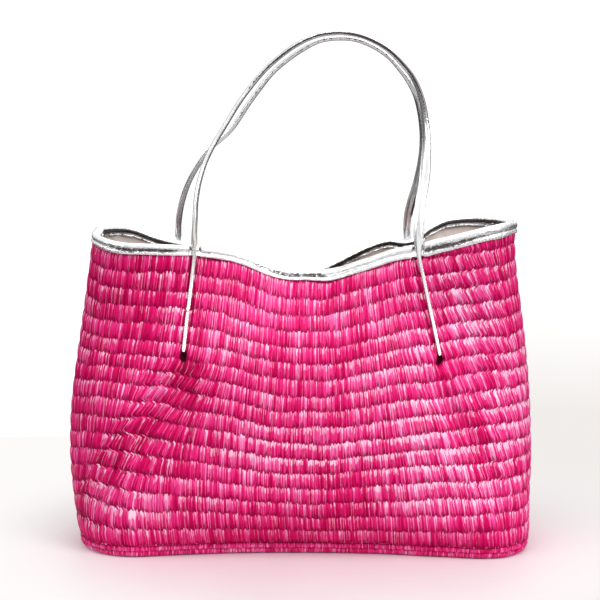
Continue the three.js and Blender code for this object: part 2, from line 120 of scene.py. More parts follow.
def rim_z(s, side):
    return spline(SZ, ZF if side < 0 else ZB, s)


def wall(s, h, side):
    """Outer face of the wall (mm) at girth s and height share h; side -1 front, 1 back."""
    s, h = np.broadcast_arrays(np.asarray(s, float), np.asarray(h, float))
    shp = s.shape; s = s.ravel(); h = h.ravel()
    mix = spline(HL, XMIX, h)
    xn = spline(ST, XN0, s) * (1 - mix) + spline(ST, XN1, s) * mix
    wl, wr = spline(HL, WL, h), spline(HL, WR, h)
    rows = spline(ST, (YF if side < 0 else YB).T, s)
    d = (rows[:, 1:] - rows[:, :-1]) / (HL[1:] - HL[:-1])
    hh = HL[1:] - HL[:-1]
    m = np.empty_like(rows)
    m[:, 1:-1] = (d[:, :-1] * hh[1:] + d[:, 1:] * hh[:-1]) / (hh[1:] + hh[:-1])
    m[:, 0], m[:, -1] = d[:, 0], d[:, -1]
    i = np.clip(np.searchsorted(HL, h, side="right") - 1, 0, len(HL) - 2)
    H = HL[i + 1] - HL[i]; t = (h - HL[i]) / H; k = np.arange(len(s))
    y = (2 * t**3 - 3 * t * t + 1) * rows[k, i] + (t**3 - 2 * t * t + t) * m[k, i] * H + (-2 * t**3 + 3 * t * t) * rows[k, i + 1] + (t**3 - t * t) * m[k, i + 1] * H
    x = (wr - wl) / 2 + xn * (wr + wl) / 2 + X_SHIFT
    z = SEAM_Z + h * (rim_z(s, side) - SEAM_Z)
    return np.stack([x, y + Y_SHIFT, z], -1).reshape(shp + (3,))


def unit(v):
    return v / np.maximum(np.linalg.norm(v, axis=-1, keepdims=True), 1e-12)


def wall_normal(s, h, side, e=1.2, g=0.006):
    s, h = np.broadcast_arrays(np.asarray(s, float), np.asarray(h, float))
    s0, s1 = np.maximum(0, s - e), np.minimum(575, s + e)
    h0, h1 = np.maximum(0, h - g), np.minimum(1, h + g)
    ds = wall(s1, h, side) - wall(s0, h, side)
    dh = wall(s, h1, side) - wall(s, h0, side)
    n = np.cross(ds, dh) if side < 0 else np.cross(dh, ds)
    return unit(n)


def seam_blend(s):
    """1 at the side seams, 0 a little way round: there the two halves share one normal."""
    a = np.minimum(s, 575 - s)
    t = np.clip(1 - a / 16.0, 0, 1)
    return t * t * (3 - 2 * t)


def normal_at(s, h, side):
    n = wall_normal(s, h, side)
    s_, h_ = np.broadcast_arrays(np.asarray(s, float), np.asarray(h, float))
    w = seam_blend(s_)[..., None]
    out = np.zeros_like(n)
    out[..., 0] = np.where(s_ < 287, -1.0, 1.0)
    return unit(n * (1 - w) + out * w)


def smooth(a, b, x):
    t = np.clip((x - a) / (b - a), 0, 1)
    return t * t * (3 - 2 * t)


# ------------------------------------------------------------------ seeded noise
def lattice(shape, seed):
    return np.random.default_rng(seed).uniform(-1, 1, shape)


def noise2(x, y, seed, wrap=257):
    g = lattice((wrap, wrap), seed)
    xi, yi = np.floor(x).astype(int), np.floor(y).astype(int)
    fx, fy = x - xi, y - yi
    fx, fy = fx * fx * fx * (fx * (fx * 6 - 15) + 10), fy * fy * fy * (fy * (fy * 6 - 15) + 10)
    a, b = g[xi % wrap, yi % wrap], g[(xi + 1) % wrap, yi % wrap]
    c, d = g[xi % wrap, (yi + 1) % wrap], g[(xi + 1) % wrap, (yi + 1) % wrap]
    return (a * (1 - fx) + b * fx) * (1 - fy) + (c * (1 - fx) + d * fx) * fy


def fbm(x, y, seed, octaves=3):
    r, a = 0, 1.0
    for k in range(octaves):
        r = r + a * noise2(x * 2**k, y * 2**k, seed + 31 * k)
        a *= 0.5
    return r


def hash2(i, j, seed):
    g = lattice((1021, 127), seed)
    return g[np.asarray(i) % 1021, np.asarray(j) % 127]


# ------------------------------------------------------------------ meshes
def build(name, V, quads=None, tris=None, uv=None, uv_name="straw", smooth_shade=True, mat_index=None, uv2=None, uv2_name="dye_light_shade"):
    """V in mm. quads (n,4), tris (n,3). uv per vertex."""
    me = bpy.data.meshes.new(name)
    V = np.asarray(V, np.float64).reshape(-1, 3) * 0.001
    q = np.zeros((0, 4), np.int32) if quads is None else np.asarray(quads, np.int32).reshape(-1, 4)
    t = np.zeros((0, 3), np.int32) if tris is None else np.asarray(tris, np.int32).reshape(-1, 3)
    loops = np.concatenate([q.ravel(), t.ravel()])
    starts = np.concatenate([np.arange(len(q)) * 4, len(q) * 4 + np.arange(len(t)) * 3]).astype(np.int32)
    totals = np.concatenate([np.full(len(q), 4), np.full(len(t), 3)]).astype(np.int32)
    me.vertices.add(len(V)); me.vertices.foreach_set("co", V.astype(np.float32).ravel())
    me.loops.add(len(loops)); me.loops.foreach_set("vertex_index", loops)
    me.polygons.add(len(starts))
    me.polygons.foreach_set("loop_start", starts)
    me.polygons.foreach_set("loop_total", totals)
    me.polygons.foreach_set("use_smooth", np.full(len(starts), smooth_shade))
    if mat_index is not None:
        me.polygons.foreach_set("material_index", np.asarray(mat_index, np.int32))
    if uv is not None:
        layer = me.uv_layers.new(name=uv_name)
        layer.data.foreach_set("uv", np.asarray(uv, np.float32)[loops].ravel())
    if uv2 is not None:
        layer = me.uv_layers.new(name=uv2_name)
        layer.data.foreach_set("uv", np.asarray(uv2, np.float32)[loops].ravel())
    me.update(calc_edges=True)
    me.validate()
    ob = bpy.data.objects.new(name, me)
    bpy.context.scene.collection.objects.link(ob)
    return ob


def grid_quads(n, m, base=0, close_n=False, flip=False):
    """Quads of an n x m grid of vertices (index i*m+j)."""
    i = np.arange(n if close_n else n - 1)[:, None]
    j = np.arange(m - 1)[None, :]
    a = base + i * m + j
    b = base + ((i + 1) % n) * m + j
    q = np.stack([a, b, b + 1, a + 1], -1).reshape(-1, 4)
    return q[:, ::-1] if flip else q


def bridge(A, B, ta, tb, flip=False):
    """Triangles between two open lines of vertices A and B with places ta, tb along them."""
    out, i, j = [], 0, 0
    while i < len(A) - 1 or j < len(B) - 1:
        if j == len(B) - 1 or (i < len(A) - 1 and ta[i + 1] <= tb[j + 1]):
            out.append((A[i], A[i + 1], B[j])); i += 1
        else:
            out.append((A[i], B[j + 1], B[j])); j += 1
    t = np.array(out, np.int32)
    return t[:, ::-1] if flip else t


def orient(V, quads, tris):
    """Faces pointing out, for a closed body."""
    V = np.asarray(V).reshape(-1, 3); vol = 0.0
    if quads is not None and len(quads):
        a, b, c, d = (V[quads[:, k]] for k in range(4))
        vol += np.einsum("ij,ij->i", a, np.cross(b, c)).sum() + np.einsum("ij,ij->i", a, np.cross(c, d)).sum()
    if tris is not None and len(tris):
        a, b, c = (V[tris[:, k]] for k in range(3))
        vol += np.einsum("ij,ij->i", a, np.cross(b, c)).sum()
    if vol < 0:
        quads = None if quads is None else quads[:, ::-1]
        tris = None if tris is None else tris[:, ::-1]
    return quads, tris


# ------------------------------------------------------------------ materials
class Tree:
    def __init__(self, name):
        self.m = bpy.data.materials.new(name)
        self.m.use_nodes = True
        self.t = self.m.node_tree
        self.t.nodes.clear()
        self.out = self.t.nodes.new("ShaderNodeOutputMaterial")
        self.b = self.t.nodes.new("ShaderNodeBsdfPrincipled")
        self.t.links.new(self.b.outputs[0], self.out.inputs[0])

    def n(self, kind, **kw):
        x = self.t.nodes.new(kind)
        for k, v in kw.items():
            setattr(x, k, v)
        return x

    def put(self, socket, v):
        if isinstance(v, bpy.types.NodeSocket):
            self.t.links.new(v, socket)
        else:
            socket.default_value = v

    def math(self, op, a, b=None, c=None, clamp=False):
        x = self.n("ShaderNodeMath", operation=op, use_clamp=clamp)
        for k, v in enumerate((a, b, c)):
            if v is not None:
                self.put(x.inputs[k], v)
        return x.outputs[0]

    def mix(self, f, a, b, blend="MIX"):
        x = self.n("ShaderNodeMix", data_type="RGBA", blend_type=blend)
        x.clamp_result = False
        self.put(x.inputs[0], f); self.put(x.inputs[6], a); self.put(x.inputs[7], b)
        return x.outputs[2]

    def ramp(self, f, stops, mode="LINEAR"):
        x = self.n("ShaderNodeValToRGB")
        r = x.color_ramp; r.interpolation = mode
        while len(r.elements) < len(stops):
            r.elements.new(0.5)
        for e, (p, c) in zip(r.elements, stops):
            e.position = p
            e.color = (*c, 1) if len(c) == 3 else c
        self.put(x.inputs[0], f)
        return x.outputs[0]

    def rng(self, v, a, b, c, d, smooth_=False):
        x = self.n("ShaderNodeMapRange", clamp=True)
        if smooth_:
            x.interpolation_type = "SMOOTHSTEP"
        self.put(x.inputs[0], v)
        for k, q in zip((1, 2, 3, 4), (a, b, c, d)):
            self.put(x.inputs[k], q)
        return x.outputs[0]

    def noise(self, vec, scale, detail=2.0, rough=0.5, dim="3D", distort=0.0, kind=None):
        x = self.n("ShaderNodeTexNoise", noise_dimensions=dim)
        if kind:
            x.noise_type = kind
        if vec is not None:
            self.put(x.inputs["Vector"], vec)
        self.put(x.inputs["Scale"], scale); self.put(x.inputs["Detail"], detail); self.put(x.inputs["Roughness"], rough)
        self.put(x.inputs["Distortion"], distort)
        return x.outputs[0]

    def combine(self, x, y, z=0.0):
        c = self.n("ShaderNodeCombineXYZ")
        for k, v in enumerate((x, y, z)):
            self.put(c.inputs[k], v)
        return c.outputs[0]

    def white(self, vec):
        x = self.n("ShaderNodeTexWhiteNoise", noise_dimensions="3D")
        self.put(x.inputs["Vector"], vec)
        return x.outputs[0]

    def bump(self, h, dist, strength=1.0, normal=None):
        x = self.n("ShaderNodeBump")
        x.inputs["Strength"].default_value = strength
        x.inputs["Distance"].default_value = dist
        self.put(x.inputs["Height"], h)
        if normal is not None:
            self.put(x.inputs["Normal"], normal)
        return x.outputs[0]

    def uv(self, name):
        x = self.n("ShaderNodeUVMap"); x.uv_map = name
        s = self.n("ShaderNodeSeparateXYZ")
        self.t.links.new(x.outputs[0], s.inputs[0])
        return s.outputs[0], s.outputs[1]

    def obj(self):
        return self.n("ShaderNodeTexCoord").outputs["Object"]


def srgb(r, g, b):
    f = lambda c: ((c / 255) / 12.92) if c / 255 <= 0.04045 else ((c / 255 + 0.055) / 1.055) ** 2.4
    return (f(r), f(g), f(b))


def straw_material(name):
    t = Tree(name)
    u, v = t.uv("straw")                       # straw count round the girth, row count up the wall
    dye_light_shade, tip_highlight_amt = t.uv("dye_light_shade")                    # how pale the dye is here with painted light and shade added, and how much painted highlight the straw tips get
    iu, iv, fv = t.math("FLOOR", u), t.math("FLOOR", v), t.math("FRACT", v)
    fu = t.math("FRACT", u)
    e = t.math("MULTIPLY", t.math("ABSOLUTE", t.math("SUBTRACT", fu, 0.5)), 2.0)      # 0 on a straw's crown, 1 between two straws
    # each straw has its own dye strength, changing from row to row; tones also run in short groups and wide patches
    own = t.white(t.combine(iu, iv, 3.1))
    own2 = t.white(t.combine(iu, iv, 17.9))
    col = t.white(t.combine(iu, t.math("FLOOR", t.math("MULTIPLY", v, 0.37)), 7.7))
    sliver = t.white(t.combine(t.math("FLOOR", t.math("MULTIPLY", u, 2.3)), iv, 9.1))
    group = t.noise(t.combine(t.math("MULTIPLY", u, 0.15), t.math("MULTIPLY", iv, 3.7), 0.0), 1.0, 2.0, 0.6)
    patch = t.noise(t.combine(t.math("MULTIPLY", u, 0.024), t.math("MULTIPLY", v, 0.30), 4.0), 1.0, 2.0, 0.55)
    fine = t.noise(t.combine(t.math("MULTIPLY", u, 3.3), t.math("MULTIPLY", v, 0.8), iv), 1.3, 2.0, 0.6)
    k = t.math("MULTIPLY_ADD", own, KW["own"], dye_light_shade)
    k = t.math("MULTIPLY_ADD", sliver, KW["sliver"], k)
    k = t.math("MULTIPLY_ADD", col, KW["col"], k)
    k = t.math("MULTIPLY_ADD", t.rng(group, 0.30, 0.70, 0, 1), KW["group"], k)
    k = t.math("MULTIPLY_ADD", t.rng(patch, 0.30, 0.70, 0, 1), KW["patch"], k)
    k = t.math("MULTIPLY_ADD", t.rng(fine, 0.25, 0.75, 0, 1), KW["fine"], k)
    # painted shade: each row lighter towards its top and darker towards its foot, as light from above falls on it
    k = t.math("MULTIPLY_ADD", t.math("SUBTRACT", fv, 0.45), KW["row_shade"], k)
    k = t.math("SUBTRACT", k, KW["base"])
    tone = t.ramp(k, [(0.0, srgb(152, 0, 60)), (0.20, srgb(190, 0, 78)), (0.42, srgb(223, 19, 103)), (0.62, srgb(241, 57, 140)),
                      (0.80, srgb(252, 119, 184)), (0.98, srgb(255, 210, 239))])
    # painted highlight: the upper ends, where every straw bends over the seam below it, are painted pale where light
    # catches them
    start = t.math("MULTIPLY_ADD", own2, -0.34, 0.84)
    tip_highlight_zone = t.n("ShaderNodeMapRange", clamp=True); tip_highlight_zone.interpolation_type = "SMOOTHSTEP"
    t.put(tip_highlight_zone.inputs[0], fv); t.put(tip_highlight_zone.inputs[1], start); t.put(tip_highlight_zone.inputs[2], t.math("ADD", start, 0.14))
    tip_highlight_chance = t.math("ADD", t.math("MULTIPLY_ADD", sliver, 0.75, t.math("MULTIPLY", own, 0.35)), tip_highlight_amt)
    tip = t.math("MULTIPLY", tip_highlight_zone.outputs[0], t.rng(tip_highlight_chance, 0.62, 0.98, 0.0, 0.84))
    tone = t.mix(tip, tone, (*srgb(255, 223, 244), 1))
    # painted highlight: some straws, picked at random, are painted pale over their whole length
    highlight_streak = t.rng(t.math("ADD", t.math("MULTIPLY", sliver, 0.8), t.math("MULTIPLY", fine, 0.5)), 0.95, 1.07, 0, 0.42)
    tone = t.mix(highlight_streak, tone, (*srgb(255, 201, 232), 1))
    # painted shade: the lower ends dive into the seam, and dark wedges of uneven height are painted between the straws
    # there, with a dark line along the seam and between neighbouring straws
    th = t.white(t.combine(t.math("FLOOR", t.math("MULTIPLY", u, 1.7)), iv, 11.3))
    height = t.math("MULTIPLY_ADD", th, 0.40, 0.0)
    z = t.math("ADD", t.math("SUBTRACT", height, fv), t.math("MULTIPLY", t.math("SUBTRACT", e, 0.55), 0.24))
    wedge_shade = t.rng(z, -0.05, 0.07, 0.0, 0.74, True)
    seam_line_shade = t.rng(fv, 0.98, 1.0, 0, 0.2, True)
    gap_shade = t.rng(e, 0.62, 1.0, 0.0, 0.30, True)
    tone = t.mix(t.math("MAXIMUM", t.math("MAXIMUM", wedge_shade, seam_line_shade), gap_shade), tone, (*srgb(134, 0, 56), 1))
    # nothing but shadow in the tucks under the strap ends
    tone = t.mix(t.rng(dye_light_shade, -0.8, -0.35, 0.94, 0.0, True), tone, (*srgb(46, 2, 20), 1))
    t.put(t.b.inputs["Base Color"], tone)
    t.put(t.b.inputs["Roughness"], t.rng(k, 0, 1, 0.46, 0.62))
    t.b.inputs["Specular IOR Level"].default_value = 0.05
    hgt = t.math("ADD", t.math("MULTIPLY", fine, 1.0), t.math("MULTIPLY", own, 0.5))
    t.put(t.b.inputs["Normal"], t.bump(hgt, 0.0007, 0.5))
    return t.m


# weights of the dye pattern, and of the painted shade that darkens each row towards its foot
KW = {"own": 0.36, "sliver": 0.24, "col": 0.10, "group": 0.30, "patch": 0.18, "fine": 0.14, "row_shade": 0.20, "base": 0.20}


def metal_leather(name, tint=(0.93, 0.935, 0.94), rough=0.2, crinkle=1.0, streak=False, shade_tint=(0.055, 0.048, 0.045), lines=1.0):
    t = Tree(name)
    p = t.obj()
    cell = t.n("ShaderNodeTexVoronoi", feature="DISTANCE_TO_EDGE", voronoi_dimensions="3D")
    warp = t.n("ShaderNodeVectorMath", operation="MULTIPLY_ADD")
    w = t.n("ShaderNodeTexNoise", noise_dimensions="3D"); w.inputs["Scale"].default_value = 260
    t.t.links.new(p, w.inputs["Vector"])
    t.t.links.new(w.outputs[1], warp.inputs[0]); warp.inputs[1].default_value = (0.004, 0.004, 0.004)
    t.t.links.new(p, warp.inputs[2])
    t.t.links.new(warp.outputs[0], cell.inputs["Vector"]); cell.inputs["Scale"].default_value = 520
    grain = t.rng(cell.outputs["Distance"], 0.0, 0.22, 0, 1, True)
    wrinkle = t.noise(p, 330, 3.0, 0.6, distort=0.6)
    broad = t.noise(p, 95, 2.0, 0.5)
    rub = t.noise(p, 60, 4.0, 0.65)
    c = t.mix(t.rng(rub, 0.35, 0.7, 0, 1), (tint[0] * 0.90, tint[1] * 0.90, tint[2] * 0.90, 1), (*tint, 1))
    c = t.mix(t.rng(grain, 0, 1, 0.30 * crinkle, 0.0), c, (0.42, 0.42, 0.43, 1))
    h = t.math("MULTIPLY", grain, 0.35 * crinkle)
    h = t.math("MULTIPLY_ADD", wrinkle, 0.9 * crinkle, h)
    h = t.math("MULTIPLY_ADD", broad, 0.8 * crinkle, h)
    if streak:
        # painted reflection and shade: along the sewn fold the colour is darkened in short broken streaks, where the
        # foil mirrors a dark room and lies in shade; the crazing there is also real relief
        deep, inner = t.uv("fold")
        craze = t.noise(p, 620, 3.0, 0.7, distort=1.2)
        blot = t.noise(p, 230, 3.0, 0.6)
        m = t.math("ADD", t.math("MULTIPLY", craze, 0.62), t.math("MULTIPLY", blot, 0.38))
        m = t.math("ADD", m, t.math("MULTIPLY", t.math("SUBTRACT", deep, 0.5), 0.30 / lines))
        m = t.rng(m, 0.50, 0.60, 0, 1, True)
        m = t.math("MULTIPLY", m, t.rng(deep, 0.02, 0.2, 0, 1))
        c = t.mix(t.math("MULTIPLY", m, 0.95), c, (0.042, 0.034, 0.036, 1))
        h = t.math("MULTIPLY_ADD", t.math("MULTIPLY", craze, deep), crinkle, h)
        # painted reflection and shade: a second, darker tone on the binding's inner side and on parts of the strap
        # faces
        inner_shade_mask = t.rng(t.math("ADD", inner, t.math("MULTIPLY", t.math("SUBTRACT", craze, 0.5), 2.4)), 0.36, 0.66, 0, 1, True)
        inner_shade_mask = t.math("MULTIPLY", inner_shade_mask, t.rng(inner, 0.02, 0.2, 0, 1))
        c = t.mix(t.math("MULTIPLY", inner_shade_mask, 0.92), c, (*shade_tint, 1))
    t.put(t.b.inputs["Base Color"], c)
    t.b.inputs["Metallic"].default_value = 0.88
    t.put(t.b.inputs["Roughness"], t.rng(rub, 0.3, 0.75, rough, rough + 0.10))
    t.put(t.b.inputs["Normal"], t.bump(h, 0.0008, 0.6))
    return t.m


def cloth_material(name, dark, light, weave=1500.0):
    t = Tree(name)
    p = t.obj()
    sx = t.n("ShaderNodeSeparateXYZ"); t.t.links.new(p, sx.inputs[0])
    a = t.math("SINE", t.math("MULTIPLY", t.math("ADD", sx.outputs[0], sx.outputs[1]), weave * 2.6))
    b = t.math("SINE", t.math("MULTIPLY", sx.outputs[2], weave * 2.6))
    wv = t.math("MULTIPLY", a, b)
    mot = t.noise(p, 45, 4.0, 0.6)
    fine = t.noise(p, 900, 2.0, 0.6)
    c = t.mix(t.rng(mot, 0.3, 0.7, 0, 1), (*dark, 1), (*light, 1))
    c = t.mix(t.rng(t.math("ADD", wv, fine), -0.6, 1.4, 0.28, 0.0), c, (dark[0] * 0.6, dark[1] * 0.6, dark[2] * 0.6, 1))
    t.put(t.b.inputs["Base Color"], c)
    t.put(t.b.inputs["Roughness"], t.rng(fine, 0.3, 0.7, 0.72, 0.9))
    t.b.inputs["Sheen Weight"].default_value = 0.25
    t.b.inputs["Sheen Roughness"].default_value = 0.5
    h = t.math("MULTIPLY_ADD", wv, 0.35, t.math("MULTIPLY", fine, 0.8))
    t.put(t.b.inputs["Normal"], t.bump(h, 0.00035, 0.6))
    return t.m


def thread_material(name, colour):
    t = Tree(name)
    p = t.obj()
    f = t.noise(p, 1400, 2.0, 0.6)
    c = t.mix(t.rng(f, 0.3, 0.7, 0, 1), (colour[0] * 0.7, colour[1] * 0.7, colour[2] * 0.7, 1), (*colour, 1))
    t.put(t.b.inputs["Base Color"], c)
    t.put(t.b.inputs["Roughness"], t.rng(f, 0.3, 0.7, 0.5, 0.75))
    t.put(t.b.inputs["Normal"], t.bump(f, 0.0002, 0.6))
    return t.m


def board_material(name):
    t = Tree(name)
    p = t.obj()
    f = t.noise(p, 220, 5.0, 0.65)
    g = t.noise(p, 30, 3.0, 0.6)
    c = t.mix(t.rng(f, 0.3, 0.7, 0, 1), (*srgb(142, 118, 88), 1), (*srgb(184, 162, 128), 1))
    c = t.mix(t.rng(g, 0.35, 0.75, 0, 0.35), c, (*srgb(120, 98, 72), 1))
    t.put(t.b.inputs["Base Color"], c)
    t.put(t.b.inputs["Roughness"], t.rng(f, 0.3, 0.7, 0.78, 0.92))
    t.put(t.b.inputs["Normal"], t.bump(f, 0.0003, 0.6))
    return t.m


def cord_material(name):
    t = Tree(name)
    p = t.obj()
    w = t.n("ShaderNodeTexWave", wave_type="BANDS", bands_direction="DIAGONAL")
    t.t.links.new(p, w.inputs["Vector"]); w.inputs["Scale"].default_value = 260; w.inputs["Distortion"].default_value = 2.0
    f = t.noise(p, 800, 3.0, 0.6)
    c = t.mix(t.rng(w.outputs[1], 0.1, 0.9, 0, 1), (*srgb(176, 168, 154), 1), (*srgb(226, 221, 210), 1))
    t.put(t.b.inputs["Base Color"], c)
    t.put(t.b.inputs["Roughness"], t.rng(f, 0.3, 0.7, 0.8, 0.95))
    t.put(t.b.inputs["Normal"], t.bump(t.math("ADD", w.outputs[1], f), 0.0006, 0.7))
    return t.m


M_STRAW = straw_material("straw_cloth_mat")
M_BIND = metal_leather("binding_leather_mat", rough=0.20, crinkle=0.5, streak=True)
M_STRAP = metal_leather("strap_leather_mat", rough=0.20, crinkle=0.10, streak=True, shade_tint=(0.34, 0.37, 0.40), lines=0.6)
M_LINING = cloth_material("lining_cloth_mat", srgb(205, 191, 183), srgb(236, 222, 214))
M_TAPE = cloth_material("seam_tape_mat", srgb(150, 134, 126), srgb(178, 164, 156))
M_THREAD = thread_material("pale_thread_mat", srgb(232, 232, 230))
M_THREAD_PINK = thread_material("pink_thread_mat", srgb(170, 20, 76))
M_BOARD = board_material("fibre_board_mat")
M_CORD = cord_material("filler_cord_mat")

# ------------------------------------------------------------------ straw cloth
PITCH = 16.6          # one row
STRAW = 1.45          # one straw, on average
ROWS = 17.0


def straw_places():
    """Girth places of the valleys between straws: uneven widths, the same for every row."""
    r = np.random.default_rng(5)
    w = r.uniform(0.66, 1.34, int(575 / STRAW))
    w = w / w.sum() * 575
    return np.concatenate([[0], np.cumsum(w)])


PLACES = straw_places()
NS = len(PLACES) - 1


def top_rows(s, side):
    """How many rows fit under the binding: half a row more at the right-hand end."""
    if side < 0:
        return ROWS + 0.55 * smooth(405, 500, s)
    return ROWS + 0.45 * smooth(170, 75, s)


# the strip is not sewn quite evenly along the front: place, and how much longer its leg is there (mm)
LIP_X = [-216, -206, -195, -170, -120, -70, -45, -20, 5, 30, 55, 80, 105, 130, 155, 200, 214]
LIP_D = [-4.2, -3.4, -1.8, -0.8, -1.8, -1.8, 0.8, 1.8, 0.4, 2.4, 1.2, 1.8, 0.8, 3.2, 2.0, 1.4, -1.2]


def lean(s, side):
    """How much of a short step down the wall from the rim is height, where the wall slopes."""
    a = wall(s, 0.90, side); b = wall(s, 1.0, side)
    d = b - a
    c = np.clip(d[..., 2] / np.linalg.norm(d, axis=-1), 0.74, 1.0)
    if side < 0:
        c = c + np.interp(b[..., 0], LIP_X, LIP_D) / BIND_H
    else:
        c = c - 0.26 * np.exp(-(np.asarray(s) / 14.0) ** 2)
    return c


def edge_dist(px, py, line):
    """Distance of points to a polyline, and the side (sign) they are on."""
    best = np.full(px.shape, 1e9); sign = np.ones(px.shape); along = np.zeros(px.shape)
    n = len(line) - 1
    for k in range(n):
        (ax, ay), (bx, by) = line[k], line[k + 1]
        dx, dy = bx - ax, by - ay
        L = dx * dx + dy * dy
        t = np.clip(((px - ax) * dx + (py - ay) * dy) / L, 0, 1)
        qx, qy = ax + t * dx, ay + t * dy
        d = np.hypot(px - qx, py - qy)
        cr = dx * (py - ay) - dy * (px - ax)
        m = d < best
        best = np.where(m, d, best); sign = np.where(m, np.sign(cr), sign); along = np.where(m, (k + t) / n, along)
    return best, sign, along


# fold lines on the front, as girth and height above the base seam (mm)
FOLD_FL = [(149, 197), (146, 190), (134, 170), (124, 150), (110, 121), (98, 106), (84, 88), (66, 60), (43, 28)]
FOLD_FR = [(431, 190), (438, 164), (453, 136), (468, 109), (480, 70), (500, 34), (519, 0)]
FOLD_BL = [(124, 192), (120, 175), (106, 140), (92, 108), (78, 70), (60, 30), (44, 0)]
FOLD_BR = [(425, 190), (434, 165), (450, 135), (468, 104), (486, 66), (505, 30), (522, 0)]


def tail_end(side, k):
    """Girth and height above the seam of a point just under a sewn strap end."""
    x0, x1, tip = TAILS["front" if side < 0 else "back"][k]
    h, s_ = 0.7, 140.0
    for _ in range(8):
        lo, hi = 30.0, 545.0
        for _ in range(40):
            mid = (lo + hi) / 2
            if wall(mid, h, side)[0] < x1 + X_SHIFT:
                lo = mid
            else:
                hi = mid
        s_ = (lo + hi) / 2
        h = (tip - SEAM_Z) / (float(rim_z(np.array(s_), side)) - SEAM_Z)
    return s_, tip - SEAM_Z - 3.6


HOLE = {(sd, sg): tail_end(sd, 0 if sg > 0 else 1) for sd in (-1, 1) for sg in (1, -1)}


def tail_line(side, k):
    """The sewn strap end on the wall: girth and height at the rim and at its tip."""
    x0, _, _ = TAILS["front" if side < 0 else "back"][k]
    lo, hi = 30.0, 545.0
    for _ in range(40):
        mid = (lo + hi) / 2
        if wall(mid, 0.97, side)[0] < x0 + X_SHIFT:
            lo = mid
        else:
            hi = mid
    hs, hz = HOLE[(side, 1 if k == 0 else -1)]
    return lo, 0.97 * (float(rim_z(np.array(lo), side)) - SEAM_Z), hs, hz + 3.6


TAIL_LINE = {sd: [tail_line(sd, 0), tail_line(sd, 1)] for sd in (-1, 1)}


def pocket(s, zz, side):
    """How far the inside of the wall is pushed in behind the tucks (mm)."""
    return sum(5.5 * np.exp(-((s - HOLE[(side, g)][0]) / 13.0) ** 2 - ((zz - HOLE[(side, g)][1] + 4) / 17.0) ** 2) for g in (1, -1))


def folds(s, zz, side, tuck=7.0):
    """Extra relief (mm, outward) of the folds below the strap ends: a ridge with a trough beside it, and a deep tuck at its head."""
    d = np.zeros_like(s)
    for line, sgn in ((FOLD_FL if side < 0 else FOLD_BL, 1), (FOLD_FR if side < 0 else FOLD_BR, -1)):
        dist, sg, al = edge_dist(s, zz, line)
        inner = sg * sgn                       # +1 on the side of the bag's middle
        amp = np.interp(al, [0, 0.12, 0.5, 0.85, 1], [0.2, 1.0, 0.8, 0.35, 0.0])
        ridge = np.exp(-(dist / 7.0) ** 2) * 4.2
        trough = np.exp(-((dist - 17.0) / 11.0) ** 2) * 6.4 * (inner > 0)
        d += amp * (ridge - trough)
        # the tuck
        hx, hy = line[0]
        ey = (zz - hy + 3.0)
        tx, tz = HOLE[(side, sgn)]
        px_ = (s - tx) / np.where(zz > tz, 3.4, 3.4 + 0.16 * (tz - zz))
        t = np.exp(-px_ * px_) * np.where(zz > tz, np.exp(-((zz - tz) / 2.6) ** 2), np.exp(-((zz - tz) / 10.0) ** 2))
        d -= tuck * t
        # a soft valley on both sides of the sewn strap end above it
        up = smooth(-4, 20, ey) * (1 - smooth(60, 105, ey))
        d -= 1.6 * np.exp(-((s - hx - 0.05 * ey * sgn * -1) / 7.0) ** 2) * up
    return d


def straw_relief(s, u, r, side):
    """Relief of rows and straws (mm, zero at the crests). u counts straws, r counts rows."""
    k = np.floor(u + 1e-9).astype(int); fu = u - k
    seed = 40 if side < 0 else 60
    # the crease between two rows zig-zags: neighbouring straws end at different heights
    zig = 0.040 * np.sin(math.pi * u) + 0.075 * hash2(k, np.round(r).astype(int), seed) + 0.03 * noise2(s / 19.0, r * 0.9, seed + 1)
    rr = r + zig
    row = np.floor(rr).astype(int); fr = rr - row
    # full and rounded near the top of the row, drawn in gradually towards its foot
    pk = 0.66
    bulge = np.where(fr < pk, np.sin(0.5 * math.pi * np.clip(fr / pk, 0, 1)) ** 0.85, np.cos(0.5 * math.pi * np.clip((fr - pk) / (1 - pk), 0, 1)) ** 0.55)
    strawc = np.clip(np.sin(math.pi * fu), 0, 1)
    own = hash2(k, row, seed + 2)
    amp = 1.15 * (1 + 0.22 * noise2(s / 31.0, row * 1.7, seed + 3))
    d = -amp * (1 - bulge)
    d -= (0.36 + 0.12 * own) * (1 - strawc)
    d += 0.24 * own * strawc * bulge + 0.9
    d += 0.35 * noise2(s / 9.0, row * 2.3, seed + 4) * bulge
    d += 0.9 * fbm(s / 64.0, r / 4.2, seed + 5, 2)
    return d, rr


# paler and darker places, partly in the dye and, on the front, partly painted light and shade where light falls on the
# folds: girth, height above the seam (mm), radii, amount, and how much painted highlight the tips get there
DYE_LIGHT_SHADE_F = [(138, 235, 13, 38, .12, .30), (165, 185, 20, 60, -.10, -.10), (100, 42, 46, 20, .12, .22), (275, 105, 85, 26, .10, .34), (285, 200, 70, 60, .08, .04),
         (85, 220, 40, 60, -.07, -.06), (125, 128, 15, 15, -.12, -.1), (66, 80, 26, 60, -.06, -.1), (455, 235, 60, 60, .11, .16), (500, 120, 42, 70, .10, .24),
         (458, 128, 12, 36, -.14, -.1), (405, 90, 40, 40, .10, .24), (385, 160, 50, 60, .07, .2), (445, 60, 40, 24, .06, .12), (230, 300, 60, 20, .05, .05),
         (330, 20, 180, 14, -.03, -.12), (540, 160, 30, 120, .06, .12),
         (440, 150, 85, 100, .09, .06), (425, 55, 70, 36, .08, .06), (110, 40, 70, 36, .07, .06), (188, 215, 40, 62, .11, .10)]
DYE_B = [(440, 230, 16, 40, .10, .2), (410, 180, 20, 60, -.08, -.1), (300, 110, 90, 30, .08, .22), (120, 200, 60, 60, .06, .1), (480, 60, 46, 24, .08, .12), (90, 70, 40, 60, -.05, -.1)]


